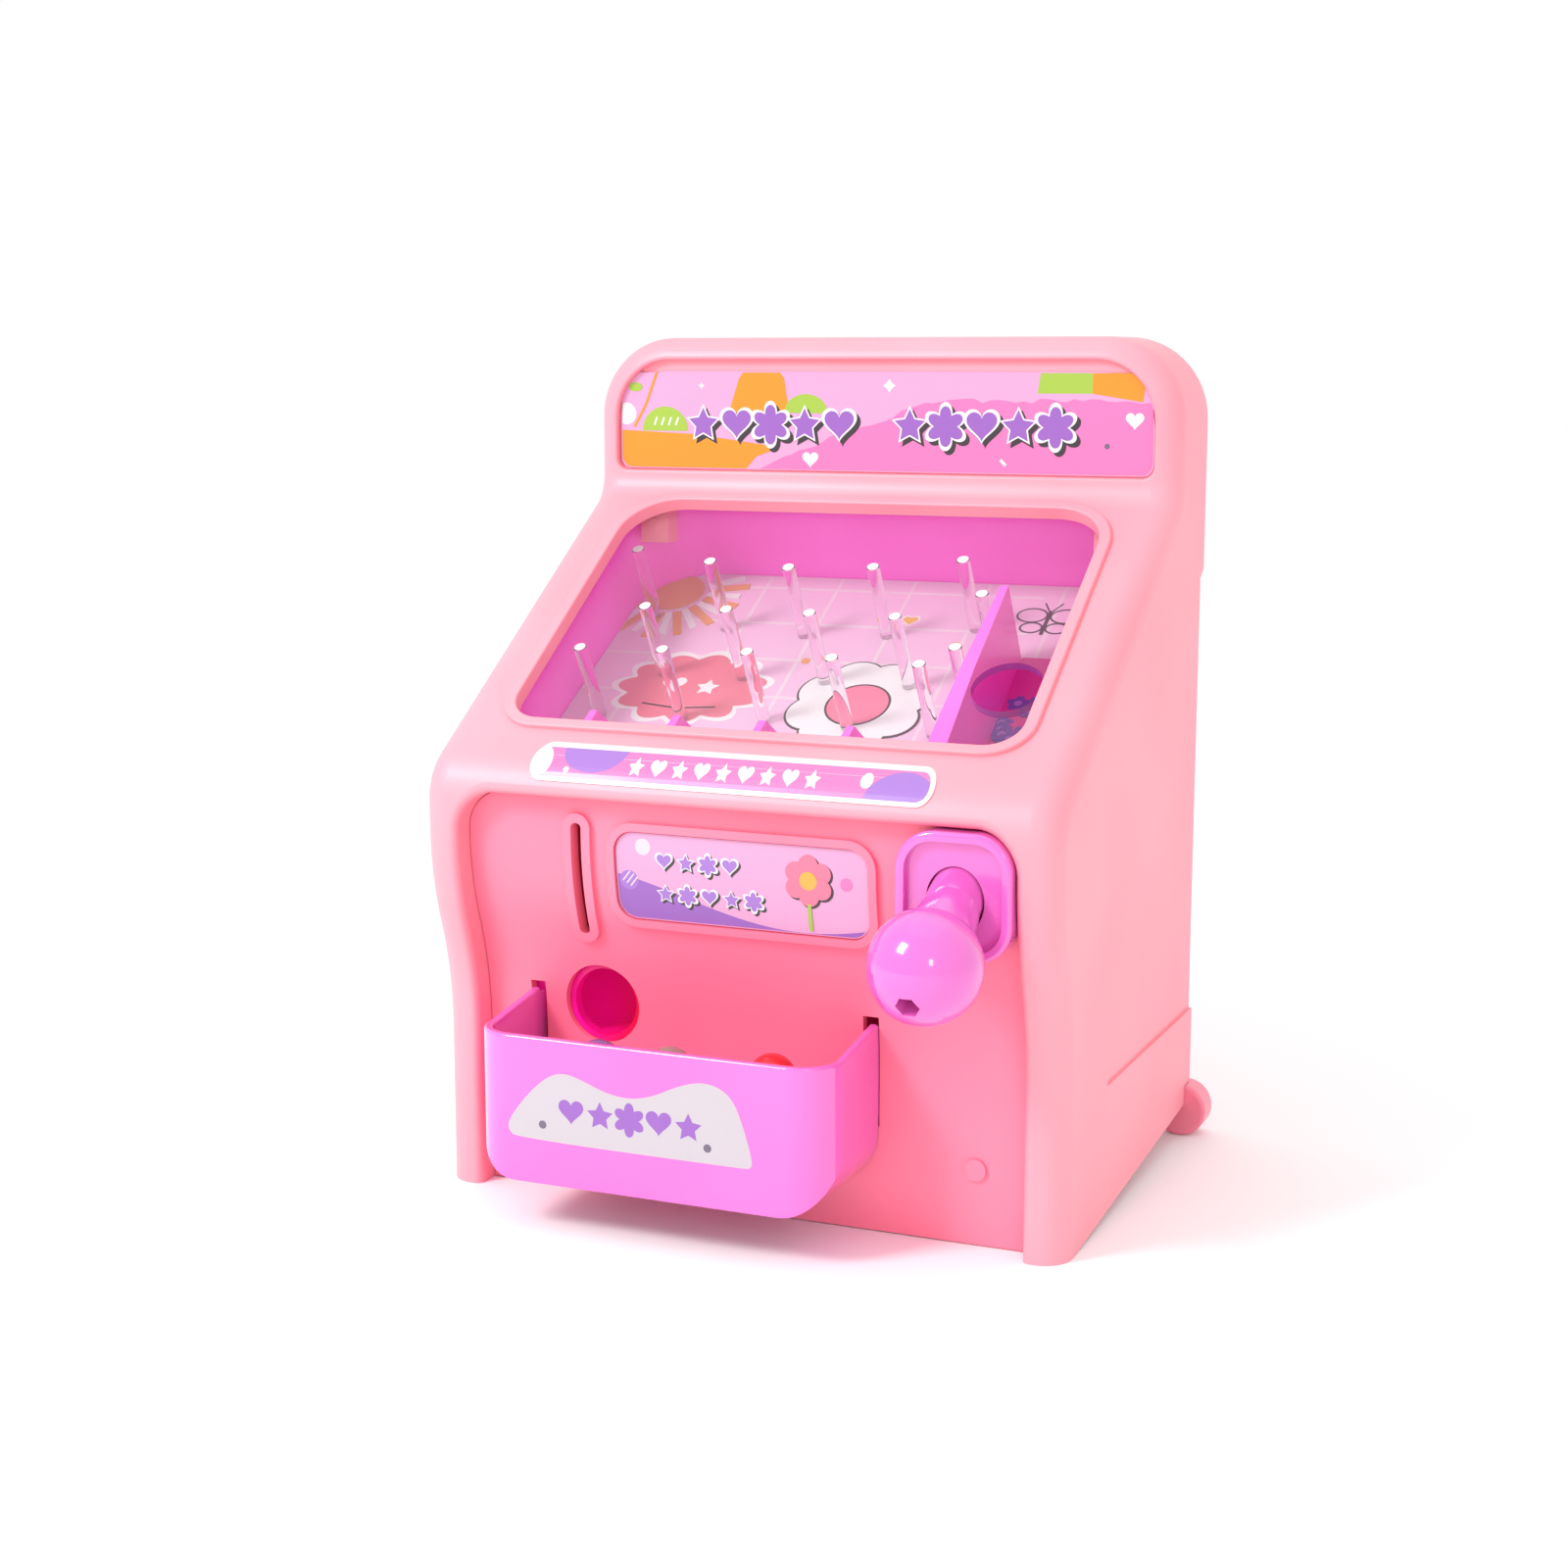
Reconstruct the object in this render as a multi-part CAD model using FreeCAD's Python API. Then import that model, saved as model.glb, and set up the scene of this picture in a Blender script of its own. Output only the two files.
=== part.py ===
import FreeCAD, Part
import math
import os
from FreeCAD import Vector

# Table-top pinball toy, millimetres, +Z up, +Y to the back. The case is drawn with Y = 0 at
# the front feet; placed() then puts the middle of the whole footprint at the origin.

# ---- case -------------------------------------------------------------------------------
case_width = 162.0
case_height = 210.0
case_back = 113.0            # rear face of the case
wall = 2.5
fit_gap = 0.2                # clearance between parts that slide together in assembly
face_gap = 0.3               # clearance round anything that moves

front_low = -1.0             # front face at the feet
front_high = -10.0           # front face at the bulge under the window
bulge_start = 40.0           # height where the front begins to swing out
bulge_end = 92.0             # height where it is vertical again
nose_height = 98.0           # height where the nose starts to round over
nose_radius = 16.0
slope_angle = 33.8           # window slope above the horizontal
sign_face = 85.0             # Y of the upright sign face
bend_radius = 8.0            # inside bend between slope and sign face
edge_radius = 7.0            # rounding all round the front edges
roof_corner = 21.0           # roof corners seen from the front
foot_run = 7.0               # the sides stand on the table as far back as this
side_rise = 9.4              # height of the side's lower edge at the back
emboss_depth = 0.8           # shallow recess in each side
emboss_front = 33.0
emboss_low = 34.0
emboss_high = 98.0           # height of the recess at its front edge

# ---- openings in the case ------------------------------------------------------------------
window_side = 15.5           # from the case's side to the window
window_length = 88.5         # along the slope
window_low = 6.5             # Y of the window's lower edge
window_top_r = 14.0
window_low_r = 8.5
rim_width = 3.0
rim_height = 1.2
rim_crest_r = 0.5
sign_side = 6.5              # from the case's side to the sign's recess
sign_margin = 5.8            # from the roof down to the sign's recess
sign_tall = 29.2
sign_top_r = 15.7
sign_low_r = 3.0
sign_depth = 2.5
sign_edge_r = 0.8
card_thick = 0.5
pillar = 10.0                # case beside the mouth that takes the front panel
mouth_high = 101.5
mouth_radius = 10.0
mouth_edge_r = 2.0

# ---- front panel ---------------------------------------------------------------------------
panel_recess = 7.0
panel_wall = 2.5
panel_low = 0.3              # lower edge of the panel
lip_wall = 2.0
lip_lap = 1.2                # how far the lip covers the panel's own edge
lip_reach = 2.3              # how far the lip laps behind the frame
slot_x = -41.0
slot_low = 67.0
slot_high = 95.0
slot_width = 2.8
slot_rim = 2.3
rim_proud = 1.3
label_x = 1.5
label_width = 69.0
label_low = 70.0
label_high = 96.0
label_r = 7.0
label_rim = 2.0
outlet_x = -39.4
outlet_z = 48.4
outlet_r = 10.0
button_x = 57.5
button_z = 18.5
button_r = 2.6

# ---- tray ----------------------------------------------------------------------------------
tray_x = -12.8
tray_width = 92.0
tray_front = -26.0
tray_low = 12.0
tray_rim_front = 47.5
tray_rim_back = 51.0
tray_wall = 2.2
tray_lip_r = 0.7              # rounding of the rim
tray_corner = 10.0
tray_bottom_r = 12.5
tray_floor = 34.8            # top of the raised floor that the balls lie on
hook_low = 26.0
hook_room = 1.6

# ---- play box ------------------------------------------------------------------------------
field_angle = 30.0
field_height = 84.4          # height of the play floor at Y = 0
field_side = 8.5             # from the case's side to the inside of the play box
field_back = 122.0           # inside length along the floor, from Y = 0
field_corner = 20.0
tub_wall = 1.8
floor_wall = 2.0
card_start = 46.5            # front edge of the printed card along the floor
tub_front = 4.9              # Y of the inside of the front wall
tub_top = 167.5              # the box is trimmed level here, under the sign
lens_thick = 2.0
lens_side = 7.2
feed_x = 56.2
feed_y = 26.5
feed_r = 8.7
drop_near = 9.5              # drop slot across the floor, in Y
drop_far = 22.0
drop_left = -67.2
drop_right = 40.0
peg_r = 1.7
peg_length = 22.0
peg_pitch = 23.0
peg_grip = 1.6               # length of peg held in the floor
divider_x = 42.6
divider_v = 89.5             # length of the divider along the floor
divider_thin = 2.0
divider_thick = 6.0
divider_height = 23.0
pocket_height = 16.5
fin_thick = 2.0
fin_foot = 7.0               # width of a fin's foot
rail_depth = 3.0
rail_side = 9.5
rail_near = 12.0
rail_far = 118.0
press_gap = 0.03             # parts pushed together, with room for the solids not to share space

# ---- shooter -------------------------------------------------------------------------------
shooter_x = 57.0
shooter_lift = 5.5           # axis height over the play floor
rod_r = 2.5
rod_fit = 0.08
stroke = 11.0
knob_r = 13.0
knob_reach = 32.6            # along the axis, from Y = 0 to the knob's centre
arm_root_r = 6.5
arm_end_r = 7.8
hex_across = 4.9
plate_width = 27.6
plate_height = 29.4
plate_z = 86.4
plate_front = -11.5
plate_r = 9.0
plate_rim = 2.2
plate_dish = 2.0
bush_start = 3.0             # along the axis from Y = 0
bush_flange = 1.0
bush_flange_r = 5.5
bush_r = 4.2
bush_end = 9.6
boss_end = 9.0
clip_start = 1.7
sleeve_start = -1.0
head_r = 5.0
head_length = 5.0
head_start = 26.2            # along the axis from Y = 0
clip_wall = 1.0
clip_r = 4.5
spring_r = 4.4
spring_wire = 0.8
spring_turns = 6

# ---- balls ---------------------------------------------------------------------------------
ball_r = 5.75

# ---- inner chutes --------------------------------------------------------------------------
chute_wall = 1.6
chute_near = 8.7
chute_far = 24.3
chute_top = 84.0
chute_left = -68.6
chute_right = 42.0
chute_floor = 38.2
chute_left_rise = 13.0
chute_right_rise = 21.0
chute_flat = 10.5            # half the flat stretch under the outlet
spout_inset = 1.4            # the spout ends inside the panel's thickness
coin_gap = 3.2               # room for the coin's thickness
coin_wall = 1.2
coin_end = 27.0
coin_floor = 65.6
coin_fall = 4.0
coin_roof = 97.0

# ---- back, base and door -------------------------------------------------------------------
cover_wall = 2.5
base_lift = 1.5
base_wall = 2.5
door_width = 60.0
door_low = 16.0
door_high = 56.0
door_wall = 2.4
door_pin_r = 1.5
door_barrel_r = 3.0
door_swing_gap = 0.4
boss_r = 3.6
screw_r = 1.4
screw_head_r = 2.8
screw_head = 1.8
screw_length = 12.0
foot_r = 7.0
foot_length = 8.5
foot_side = 1.4              # from the case's side to the middle of a rear foot
foot_back = 116.2
post_size = 8.0
post_side = 17.5
post_deep = 6.5              # from the sign face back
post_low = 155.5
post_high = 174.0
nub_r = 1.5

half = case_width / 2.0
window_width = case_width - 2.0 * window_side
sign_width = case_width - 2.0 * sign_side
sign_high = case_height - sign_margin
sign_low = sign_high - sign_tall
mouth_width = case_width - 2.0 * pillar
field_half = half - field_side
lens_half = half - lens_side
foot_x = half - foot_side
post_x = half - post_side
rail_reach = half - rail_side
trim = wall + lens_thick + fit_gap
knob_y = -knob_reach * math.cos(math.radians(field_angle))
footprint_front = knob_y - knob_r
centre_y = (footprint_front + foot_back) / 2.0


# ---- helpers -------------------------------------------------------------------------------
def block(x0, x1, y0, y1, z0, z1):
    return Part.makeBox(x1 - x0, y1 - y0, z1 - z0, Vector(x0, y0, z0))


def tan(angle):
    return math.tan(math.radians(angle))


def polar(centre, radius, angle):
    a = math.radians(angle)
    return (centre[0] + radius * math.cos(a), centre[1] + radius * math.sin(a))


def side_point(point, x=0.0):
    return Vector(x, point[0], point[1])


def line(a, b):
    return Part.LineSegment(side_point(a), side_point(b)).toShape()


def arc(centre, radius, start, end):
    mid = (start + end) / 2.0
    ends = [polar(centre, radius, angle) for angle in (start, mid, end)]
    return Part.Arc(*[side_point(p) for p in ends]).toShape()


def prism_x(edges, x0, x1):
    """Solid between X = x0 and X = x1 whose side outline is the given edges."""
    face = Part.Face(Part.Wire(Part.__sortEdges__(edges)))
    solid = face.extrude(Vector(x1 - x0, 0, 0))
    solid.translate(Vector(x0, 0, 0))
    return solid


def polygon_x(points, x0, x1):
    closed = points + [points[0]]
    return prism_x([line(a, b) for a, b in zip(closed, closed[1:])], x0, x1)


def rounded_face(x0, x1, p0, p1, low_r, high_r, point):
    """Rounded rectangle with its own radius at each end; point() places (x, p) in space."""
    corners = [(x0 + low_r, p0 + low_r, low_r, 180), (x1 - low_r, p0 + low_r, low_r, 270),
               (x1 - high_r, p1 - high_r, high_r, 0), (x0 + high_r, p1 - high_r, high_r, 90)]
    arcs = []
    for cx, cp, radius, start in corners:
        arcs.append([point(*polar((cx, cp), radius, start + turn)) for turn in (0, 45, 90)])
    edges = []
    for here, following in zip(arcs, arcs[1:] + arcs[:1]):
        edges.append(Part.Arc(*here).toShape())
        edges.append(Part.LineSegment(here[2], following[0]).toShape())
    return Part.Face(Part.Wire(edges))


def front_point(x, z):
    return Vector(x, 0, z)


def plan_point(x, y):
    return Vector(x, y, 0)


def rounded_prism(x0, x1, z0, z1, low_r, high_r, y0, y1):
    """Rounded rectangle in front view, running from Y = y0 to Y = y1."""
    solid = rounded_face(x0, x1, z0, z1, low_r, high_r, front_point).extrude(Vector(0, y1 - y0, 0))
    solid.translate(Vector(0, y0, 0))
    return solid


def rounded_slab(x0, x1, y0, y1, near_r, far_r, z0, z1):
    """Rounded rectangle in plan, running from Z = z0 to Z = z1."""
    solid = rounded_face(x0, x1, y0, y1, near_r, far_r, plan_point).extrude(Vector(0, 0, z1 - z0))
    solid.translate(Vector(0, 0, z0))
    return solid


def tilted(solid, angle, height):
    """Lay a solid that was drawn flat on the plane through (Y 0, Z height) at the angle."""
    solid.rotate(Vector(0, 0, 0), Vector(1, 0, 0), angle)
    solid.translate(Vector(0, 0, height))
    return solid


def cylinder(centre, direction, radius, length):
    return Part.makeCylinder(radius, length, Vector(*centre), Vector(*direction))


def fused(solids):
    return solids[0].multiFuse(solids[1:]).removeSplitter()


def only_solid(shape):
    return shape.Solids[0] if len(shape.Solids) == 1 else shape


def placed(shape):
    moved = shape.copy()
    moved.translate(Vector(0, -centre_y, 0))
    return moved


# ---- outlines of the case, all offset inwards by t ------------------------------------------
swing = front_low - front_high
swing_rise = bulge_end - bulge_start
swing_r = (swing_rise ** 2 + swing ** 2) / (4.0 * swing)
swing_angle = math.degrees(math.asin(swing_rise / 2.0 / swing_r))


def bulge_edges(t, low):
    """Front edge of the case from the foot up to the bulge, an S of two equal arcs."""
    hollow = (front_low - swing_r, bulge_start)
    crown = (front_high + swing_r, bulge_end)
    return [line((front_low + t, low), (front_low + t, bulge_start)),
            arc(hollow, swing_r + t, 0, swing_angle),
            arc(crown, swing_r - t, 180 + swing_angle, 180)]


def slope_z(y, t):
    """Height of the window slope at y, t below its outer face."""
    nose_y = front_high + nose_radius
    start_y, start_z = polar((nose_y, nose_height), nose_radius, 90 + slope_angle)
    return start_z + (y - start_y) * tan(slope_angle) - t / math.cos(math.radians(slope_angle))


def case_solid(t, low, back):
    """The case outline in side view, crossed with its rounded outline in front view."""
    nose = (front_high + nose_radius, nose_height)
    bend_y = sign_face + t - (bend_radius + t)
    bend_z = slope_z(bend_y, t) + (bend_radius + t) / math.cos(math.radians(slope_angle))
    bend = (bend_y, bend_z)
    slope_end = polar(bend, bend_radius + t, slope_angle - 90)
    top = case_height - t
    edges = bulge_edges(t, low)
    edges += [line((front_high + t, bulge_end), (front_high + t, nose_height)),
              arc(nose, nose_radius - t, 180, 90 + slope_angle),
              line(polar(nose, nose_radius - t, 90 + slope_angle), slope_end),
              arc(bend, bend_radius + t, slope_angle - 90, 0),
              line((sign_face + t, bend_z), (sign_face + t, top)),
              line((sign_face + t, top), (back, top)),
              line((back, top), (back, low)),
              line((back, low), (front_low + t, low))]
    side = prism_x(edges, -half, half)
    front = rounded_prism(t - half, half - t, -60, top, 1, roof_corner - t, front_high - 5, back + 5)
    return side.common(front)


def front_perimeter(solid, t):
    """Edges that run up one side of the front, over the roof and down the other side."""
    found = []
    for edge in solid.Edges:
        box = edge.BoundBox
        crosswise = box.XLength > case_width / 2.0
        roof_front = crosswise and abs(box.ZMax - case_height + t) < 0.01 and box.YMax < case_back - 5
        side_edge = not crosswise and box.YLength < case_back and box.YMax < sign_face + t + 1
        upright = box.ZLength > 0.5
        if roof_front or (side_edge and upright):
            found.append(edge)
    return found


def rounded_case(t, low, back):
    solid = case_solid(t, low, back)
    return solid.makeFillet(edge_radius - t, front_perimeter(solid, t))


def panel_band(t0, t1, x0, x1, top, low):
    """Curved slab that follows the front of the case between the offsets t0 and t1."""
    front = bulge_edges(t0, low) + [line((front_high + t0, bulge_end), (front_high + t0, top))]
    rear = bulge_edges(t1, low) + [line((front_high + t1, bulge_end), (front_high + t1, top))]
    ends = [line((front_low + t0, low), (front_low + t1, low)),
            line((front_high + t0, top), (front_high + t1, top))]
    return prism_x(front + rear + ends, x0, x1)


def mouth_prism(grow, y0, y1, low):
    """Front view of the mouth that takes the panel, larger by grow on each edge."""
    edge = mouth_width / 2.0 + grow
    return rounded_prism(-edge, edge, low, mouth_high + grow, 1, mouth_radius + grow, y0, y1)


def window_solid(grow, low, high):
    """The window's rounded rectangle laid on the slope, grown on each edge, between two heights."""
    start = window_low / math.cos(math.radians(slope_angle))
    x = window_width / 2.0 + grow
    solid = rounded_slab(-x, x, start - grow, start + window_length + grow,
                         window_low_r + grow, window_top_r + grow, low, high)
    return tilted(solid, slope_angle, slope_z(0.0, 0.0))


def above_slope(t):
    """Everything above the plane that lies t under the window slope."""
    solid = block(-half, half, -case_height, 2 * case_height, -t, case_height)
    return tilted(solid, slope_angle, slope_z(0.0, 0.0))


def on_floor(solid):
    """Lay a solid drawn with Z = 0 on the play floor."""
    return tilted(solid, field_angle, field_height)


axis = Vector(0, math.cos(math.radians(field_angle)), math.sin(math.radians(field_angle)))
axis_start = Vector(shooter_x, 0, field_height + shooter_lift / math.cos(math.radians(field_angle)))


def on_axis(distance):
    return axis_start + axis * distance


def turned(radius, start, end):
    """Round bar on the shooter's axis between two distances along it."""
    return Part.makeCylinder(radius, end - start, on_axis(start), axis)


def ring(outer_r, inner_r, start, end):
    return turned(outer_r, start, end).cut(turned(inner_r, start - 1, end + 1))


# ---- case ---------------------------------------------------------------------------------
cover_front = case_back - cover_wall
inner_half = half - wall
boss_x = inner_half + 0.3 - boss_r
cover_boss_z = (30.0, 185.0)
base_boss_y = (16.0, 96.0)
rise = (side_rise) / (case_back - foot_run)


def base_z(y):
    return (y - foot_run) * rise


def feet_bars(grow, y0, y1):
    return [cylinder((side * foot_x, y0, foot_r), (0, 1, 0), foot_r + grow, y1 - y0) for side in (-1, 1)]


def near(a, b):
    return abs(a - b) < 0.05


def mouth_edges(shell):
    """Front edges of the mouth, up one side, round the top and down the other side."""
    edge_x = mouth_width / 2.0
    found = []
    for edge in shell.Edges:
        box = edge.BoundBox
        upright = near(abs(box.Center.x), edge_x) and box.XLength < 0.1
        over = box.ZMin > mouth_high - mouth_radius - 0.05 and box.ZMax < mouth_high + 0.05
        inside = box.XMin > -edge_x - 0.05 and box.XMax < edge_x + 0.05
        crosswise = box.ZLength < 0.1 and box.YLength > 1
        if (upright or (over and inside)) and box.YMax < front_low + 0.05 and not crosswise:
            found.append(edge)
    return found


def sign_edges(shell):
    """Edge of the sign's recess where it meets the upright face."""
    found = []
    for edge in shell.Edges:
        box = edge.BoundBox
        in_frame = box.ZMin > sign_low - 0.05 and box.ZMax < sign_high + 0.05
        across = abs(box.XMin) < sign_width / 2.0 + 0.05 and abs(box.XMax) < sign_width / 2.0 + 0.05
        if in_frame and across and near(box.YMin, sign_face) and near(box.YMax, sign_face):
            found.append(edge)
    return found


def rim_crest(shell):
    """Both edges along the top of the raised rim round the window."""
    crest = -rim_height
    return [edge for edge in shell.Edges
            if len(edge.Vertexes) == 2 and all(abs(v.Z - slope_z(v.Y, crest)) < 0.02 for v in edge.Vertexes)]


def front_shell():
    outer = rounded_case(0, 0, case_back)
    shell = outer.cut(rounded_case(wall, -10, case_back + 5))
    shell = shell.cut(polygon_x([(foot_run, 0), (case_back, side_rise), (case_back, -1), (foot_run, -1)],
                                -half, half))
    band = panel_band(-4, panel_recess + panel_wall, -half, half, mouth_high + wall, 0)
    frame = mouth_prism(wall, front_high - 4, sign_face, -5).common(band).common(outer)
    mouth = mouth_prism(0, front_high - 4, tub_front + 6, -5)
    shell = shell.fuse(frame).cut(mouth).removeSplitter()
    shell = shell.makeFillet(mouth_edge_r, mouth_edges(shell))
    pad_edge = sign_width / 2.0 + wall
    pad = rounded_prism(-pad_edge, pad_edge, sign_low - wall, sign_high + wall, sign_low_r + wall,
                        sign_top_r + wall, sign_face + 1, sign_face + sign_depth + wall)
    recess = rounded_prism(-sign_width / 2.0, sign_width / 2.0, sign_low, sign_high, sign_low_r,
                           sign_top_r, sign_face - 1, sign_face + sign_depth)
    shell = shell.fuse(pad).cut(recess).removeSplitter()
    shell = shell.makeFillet(sign_edge_r, sign_edges(shell))
    rim = window_solid(rim_width, -1, rim_height).cut(window_solid(0, -2, rim_height + 1))
    shell = shell.fuse(rim).cut(window_solid(0, -3 * wall, rim_height)).removeSplitter()
    shell = shell.makeFillet(rim_crest_r, rim_crest(shell))
    extras = []
    cuts = []
    for side in (-1, 1):
        x0, x1 = sorted((side * (post_x - post_size / 2.0), side * (post_x + post_size / 2.0)))
        extras.append(block(x0, x1, sign_face + 0.5, sign_face + post_deep, post_low, post_high))
        extras.append(cylinder((side * post_x, sign_face + 1, post_low + 5), (0, -1, 0), nub_r, 1.3))
        x0, x1 = sorted((side * rail_reach, side * (inner_half + 0.1)))
        extras.append(on_floor(block(x0, x1, rail_near, rail_far, -floor_wall - rail_depth, -floor_wall)))
        for z in cover_boss_z:
            extras.append(cylinder((side * boss_x, cover_front, z), (0, -1, 0), boss_r, screw_length + 2))
            cuts.append(cylinder((side * boss_x, cover_front + 1, z), (0, -1, 0),
                                 screw_r + press_gap, screw_length + 1))
        for y in base_boss_y:
            low = base_z(y) + base_lift + base_wall + 0.4
            extras.append(cylinder((side * boss_x, y, low), (0, 0, 1), boss_r, screw_length + 2))
            cuts.append(cylinder((side * boss_x, y, low - 1), (0, 0, 1), screw_r + press_gap, screw_length + 1))
        x0, x1 = sorted((side * (half - emboss_depth), side * (half + 1)))
        top_back = emboss_high + (case_back - emboss_front) * tan(slope_angle)
        cuts.append(polygon_x([(emboss_front, emboss_low), (emboss_front, emboss_high),
                               (case_back + 1, top_back), (case_back + 1, emboss_low)], x0, x1))
    shell = shell.multiFuse(extras).cut(cuts[0]).cut(Part.makeCompound(cuts[1:]))
    return only_solid(shell.cut(Part.makeCompound(feet_bars(fit_gap, foot_back - foot_length - fit_gap,
                                                            foot_back + 1))))


def front_panel():
    edge = mouth_width / 2.0
    plate = panel_band(panel_recess, panel_recess + panel_wall, -half, half, mouth_high, panel_low)
    plate = plate.common(mouth_prism(-fit_gap, front_high, tub_front + 20, -5))
    lip_start = panel_recess + panel_wall
    lip = panel_band(lip_start, lip_start + lip_wall, -half, half, mouth_high + lip_reach, panel_low)
    lip = lip.cut(panel_band(lip_start - 1, lip_start, -half, half, mouth_high + lip_reach + 1, -5))
    lip = lip.common(mouth_prism(lip_reach, front_high, tub_front + 20, -5))
    lip = lip.cut(mouth_prism(-lip_lap, front_high, tub_front + 20, -5))
    rims = panel_band(panel_recess - rim_proud, panel_recess + 0.5, -edge, edge, mouth_high, panel_low)
    slot_half = slot_width / 2.0
    slot_outer = slot_half + slot_rim
    slot_rim_solid = rounded_prism(slot_x - slot_outer, slot_x + slot_outer, slot_low - slot_rim,
                                   slot_high + slot_rim, slot_outer - 0.1, slot_outer - 0.1,
                                   front_high - 4, tub_front + 9)
    label_half = label_width / 2.0
    label_outer = rounded_prism(label_x - label_half, label_x + label_half, label_low, label_high,
                                label_r, label_r, front_high - 4, tub_front + 9)
    label_inner = rounded_prism(label_x - label_half + label_rim, label_x + label_half - label_rim,
                                label_low + label_rim, label_high - label_rim, label_r - label_rim,
                                label_r - label_rim, front_high - 5, tub_front + 10)
    button = cylinder((button_x, 0, button_z), (0, 1, 0), button_r, front_low + panel_recess + 0.5)
    button = button.common(panel_band(panel_recess - 0.8, panel_recess + 1, -half, half, mouth_high, panel_low))
    panel = plate.multiFuse([lip, slot_rim_solid.common(rims), label_outer.cut(label_inner).common(rims),
                             button])
    slot = rounded_prism(slot_x - slot_half, slot_x + slot_half, slot_low, slot_high, slot_half - 0.1,
                         slot_half - 0.1, front_high - 4, tub_front + 9)
    outlet = cylinder((outlet_x, front_high, outlet_z), (0, 1, 0), outlet_r, 40)
    shooter_hole = turned(arm_root_r + 1.7, -20, 12)
    cuts = [slot, outlet, shooter_hole]
    for x0, x1 in hook_slots():
        cuts.append(block(x0, x1, front_high, tub_front + 12, hook_low, tray_rim_back + hook_room))
    return only_solid(panel.cut(Part.makeCompound(cuts)))


def hook_slots():
    """X ranges of the two slots that the tray's side walls reach through."""
    left = tray_x - tray_width / 2.0
    right = tray_x + tray_width / 2.0
    return [(left - fit_gap, left + tray_wall + hook_room), (right - tray_wall - hook_room, right + fit_gap)]


def back_cover():
    edge = inner_half - fit_gap
    corner = roof_corner - wall - fit_gap
    cover = rounded_prism(-edge, edge, side_rise + 0.6, case_height - wall - fit_gap, 1, corner,
                          cover_front, case_back)
    extras = []
    cuts = [block(-door_width / 2.0 - door_swing_gap, door_width / 2.0 + door_swing_gap, cover_front - 1,
                  case_back + 1, door_pin_z - door_reach - door_swing_gap - 0.2, door_high + door_swing_gap)]
    for side in (-1, 1):
        for z in cover_boss_z:
            cuts.append(cylinder((side * boss_x, cover_front - 1, z), (0, 1, 0), screw_r + 0.1, 9))
            cuts.append(cylinder((side * boss_x, case_back - screw_head, z), (0, 1, 0),
                                 screw_head_r + 0.1, 9))
        x0, x1 = sorted((side * (door_width / 2.0 + door_swing_gap), side * (door_width / 2.0 + 6)))
        extras.append(cylinder((x0, door_pin_y, door_pin_z), (1, 0, 0), door_barrel_r, x1 - x0))
        cuts.append(cylinder((x0 - 0.1, door_pin_y, door_pin_z), (1, 0, 0), door_pin_r + press_gap,
                             x1 - x0 + 0.2))
        x0, x1 = sorted((side * 30.0, side * 34.0))
        extras.append(block(x0, x1, tub_back_y + 0.3, cover_front + 0.1, tub_back_z - 2, tub_back_z + 2))
    cover = cover.multiFuse(extras).cut(Part.makeCompound(cuts))
    return only_solid(cover.cut(Part.makeCompound(feet_bars(fit_gap, cover_front - 3, foot_back))))


def base_plate():
    y0 = front_low + panel_recess + panel_wall + lip_wall + fit_gap
    y1 = foot_back - foot_length - 1.0
    low = [(y, base_z(y) + base_lift) for y in (y0, y1)]
    high = [(y, z + base_wall) for y, z in reversed(low)]
    plate = polygon_x(low + high, -inner_half + fit_gap, inner_half - fit_gap)
    cuts = []
    for side in (-1, 1):
        for y in base_boss_y:
            z = base_z(y) + base_lift
            cuts.append(cylinder((side * boss_x, y, z - 1), (0, 0, 1), screw_r + 0.1, 9))
            cuts.append(cylinder((side * boss_x, y, z - 1), (0, 0, 1), screw_head_r + 0.1, 1 + screw_head))
    return plate.cut(Part.makeCompound(cuts))


def screw(point, direction):
    """Self-tapping screw; point is the outer face of its head."""
    head = cylinder(point, direction, screw_head_r, screw_head)
    shank = cylinder(point, direction, screw_r, screw_length)
    cross = []
    for dx, dz in ((1.9, 0.5), (0.5, 1.9)):
        if direction[2]:
            cross.append(block(point[0] - dx, point[0] + dx, point[1] - dz, point[1] + dz,
                               point[2] - 0.1, point[2] + 0.9))
        else:
            cross.append(block(point[0] - dx, point[0] + dx, point[1] - 0.9, point[1] + 0.1,
                               point[2] - dz, point[2] + dz))
    return head.fuse(shank).cut(Part.makeCompound(cross))


def case_screws():
    screws = []
    for side in (-1, 1):
        for z in cover_boss_z:
            screws.append(screw((side * boss_x, case_back, z), (0, -1, 0)))
        for y in base_boss_y:
            screws.append(screw((side * boss_x, y, base_z(y) + base_lift), (0, 0, 1)))
    return Part.makeCompound(screws)


def rear_feet():
    """Round feet let into the lower back corners, each with a tongue held behind the cover."""
    feet = []
    for side, bar in zip((-1, 1), feet_bars(0, foot_back - foot_length, foot_back)):
        bar = bar.makeFillet(1.0, [edge for edge in bar.Edges if edge.BoundBox.YLength < 0.01])
        x0, x1 = sorted((side * (inner_half - 6), side * (inner_half - fit_gap)))
        tongue = block(x0, x1, foot_back - foot_length, cover_front - fit_gap, foot_r, 3 * foot_r)
        feet.append(bar.fuse(tongue).removeSplitter())
    return Part.makeCompound(feet)


# ---- coin door ------------------------------------------------------------------------------
door_pin_y = cover_front - 1.2
door_pin_z = door_low + 2.5
door_reach = case_back - door_pin_y


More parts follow.
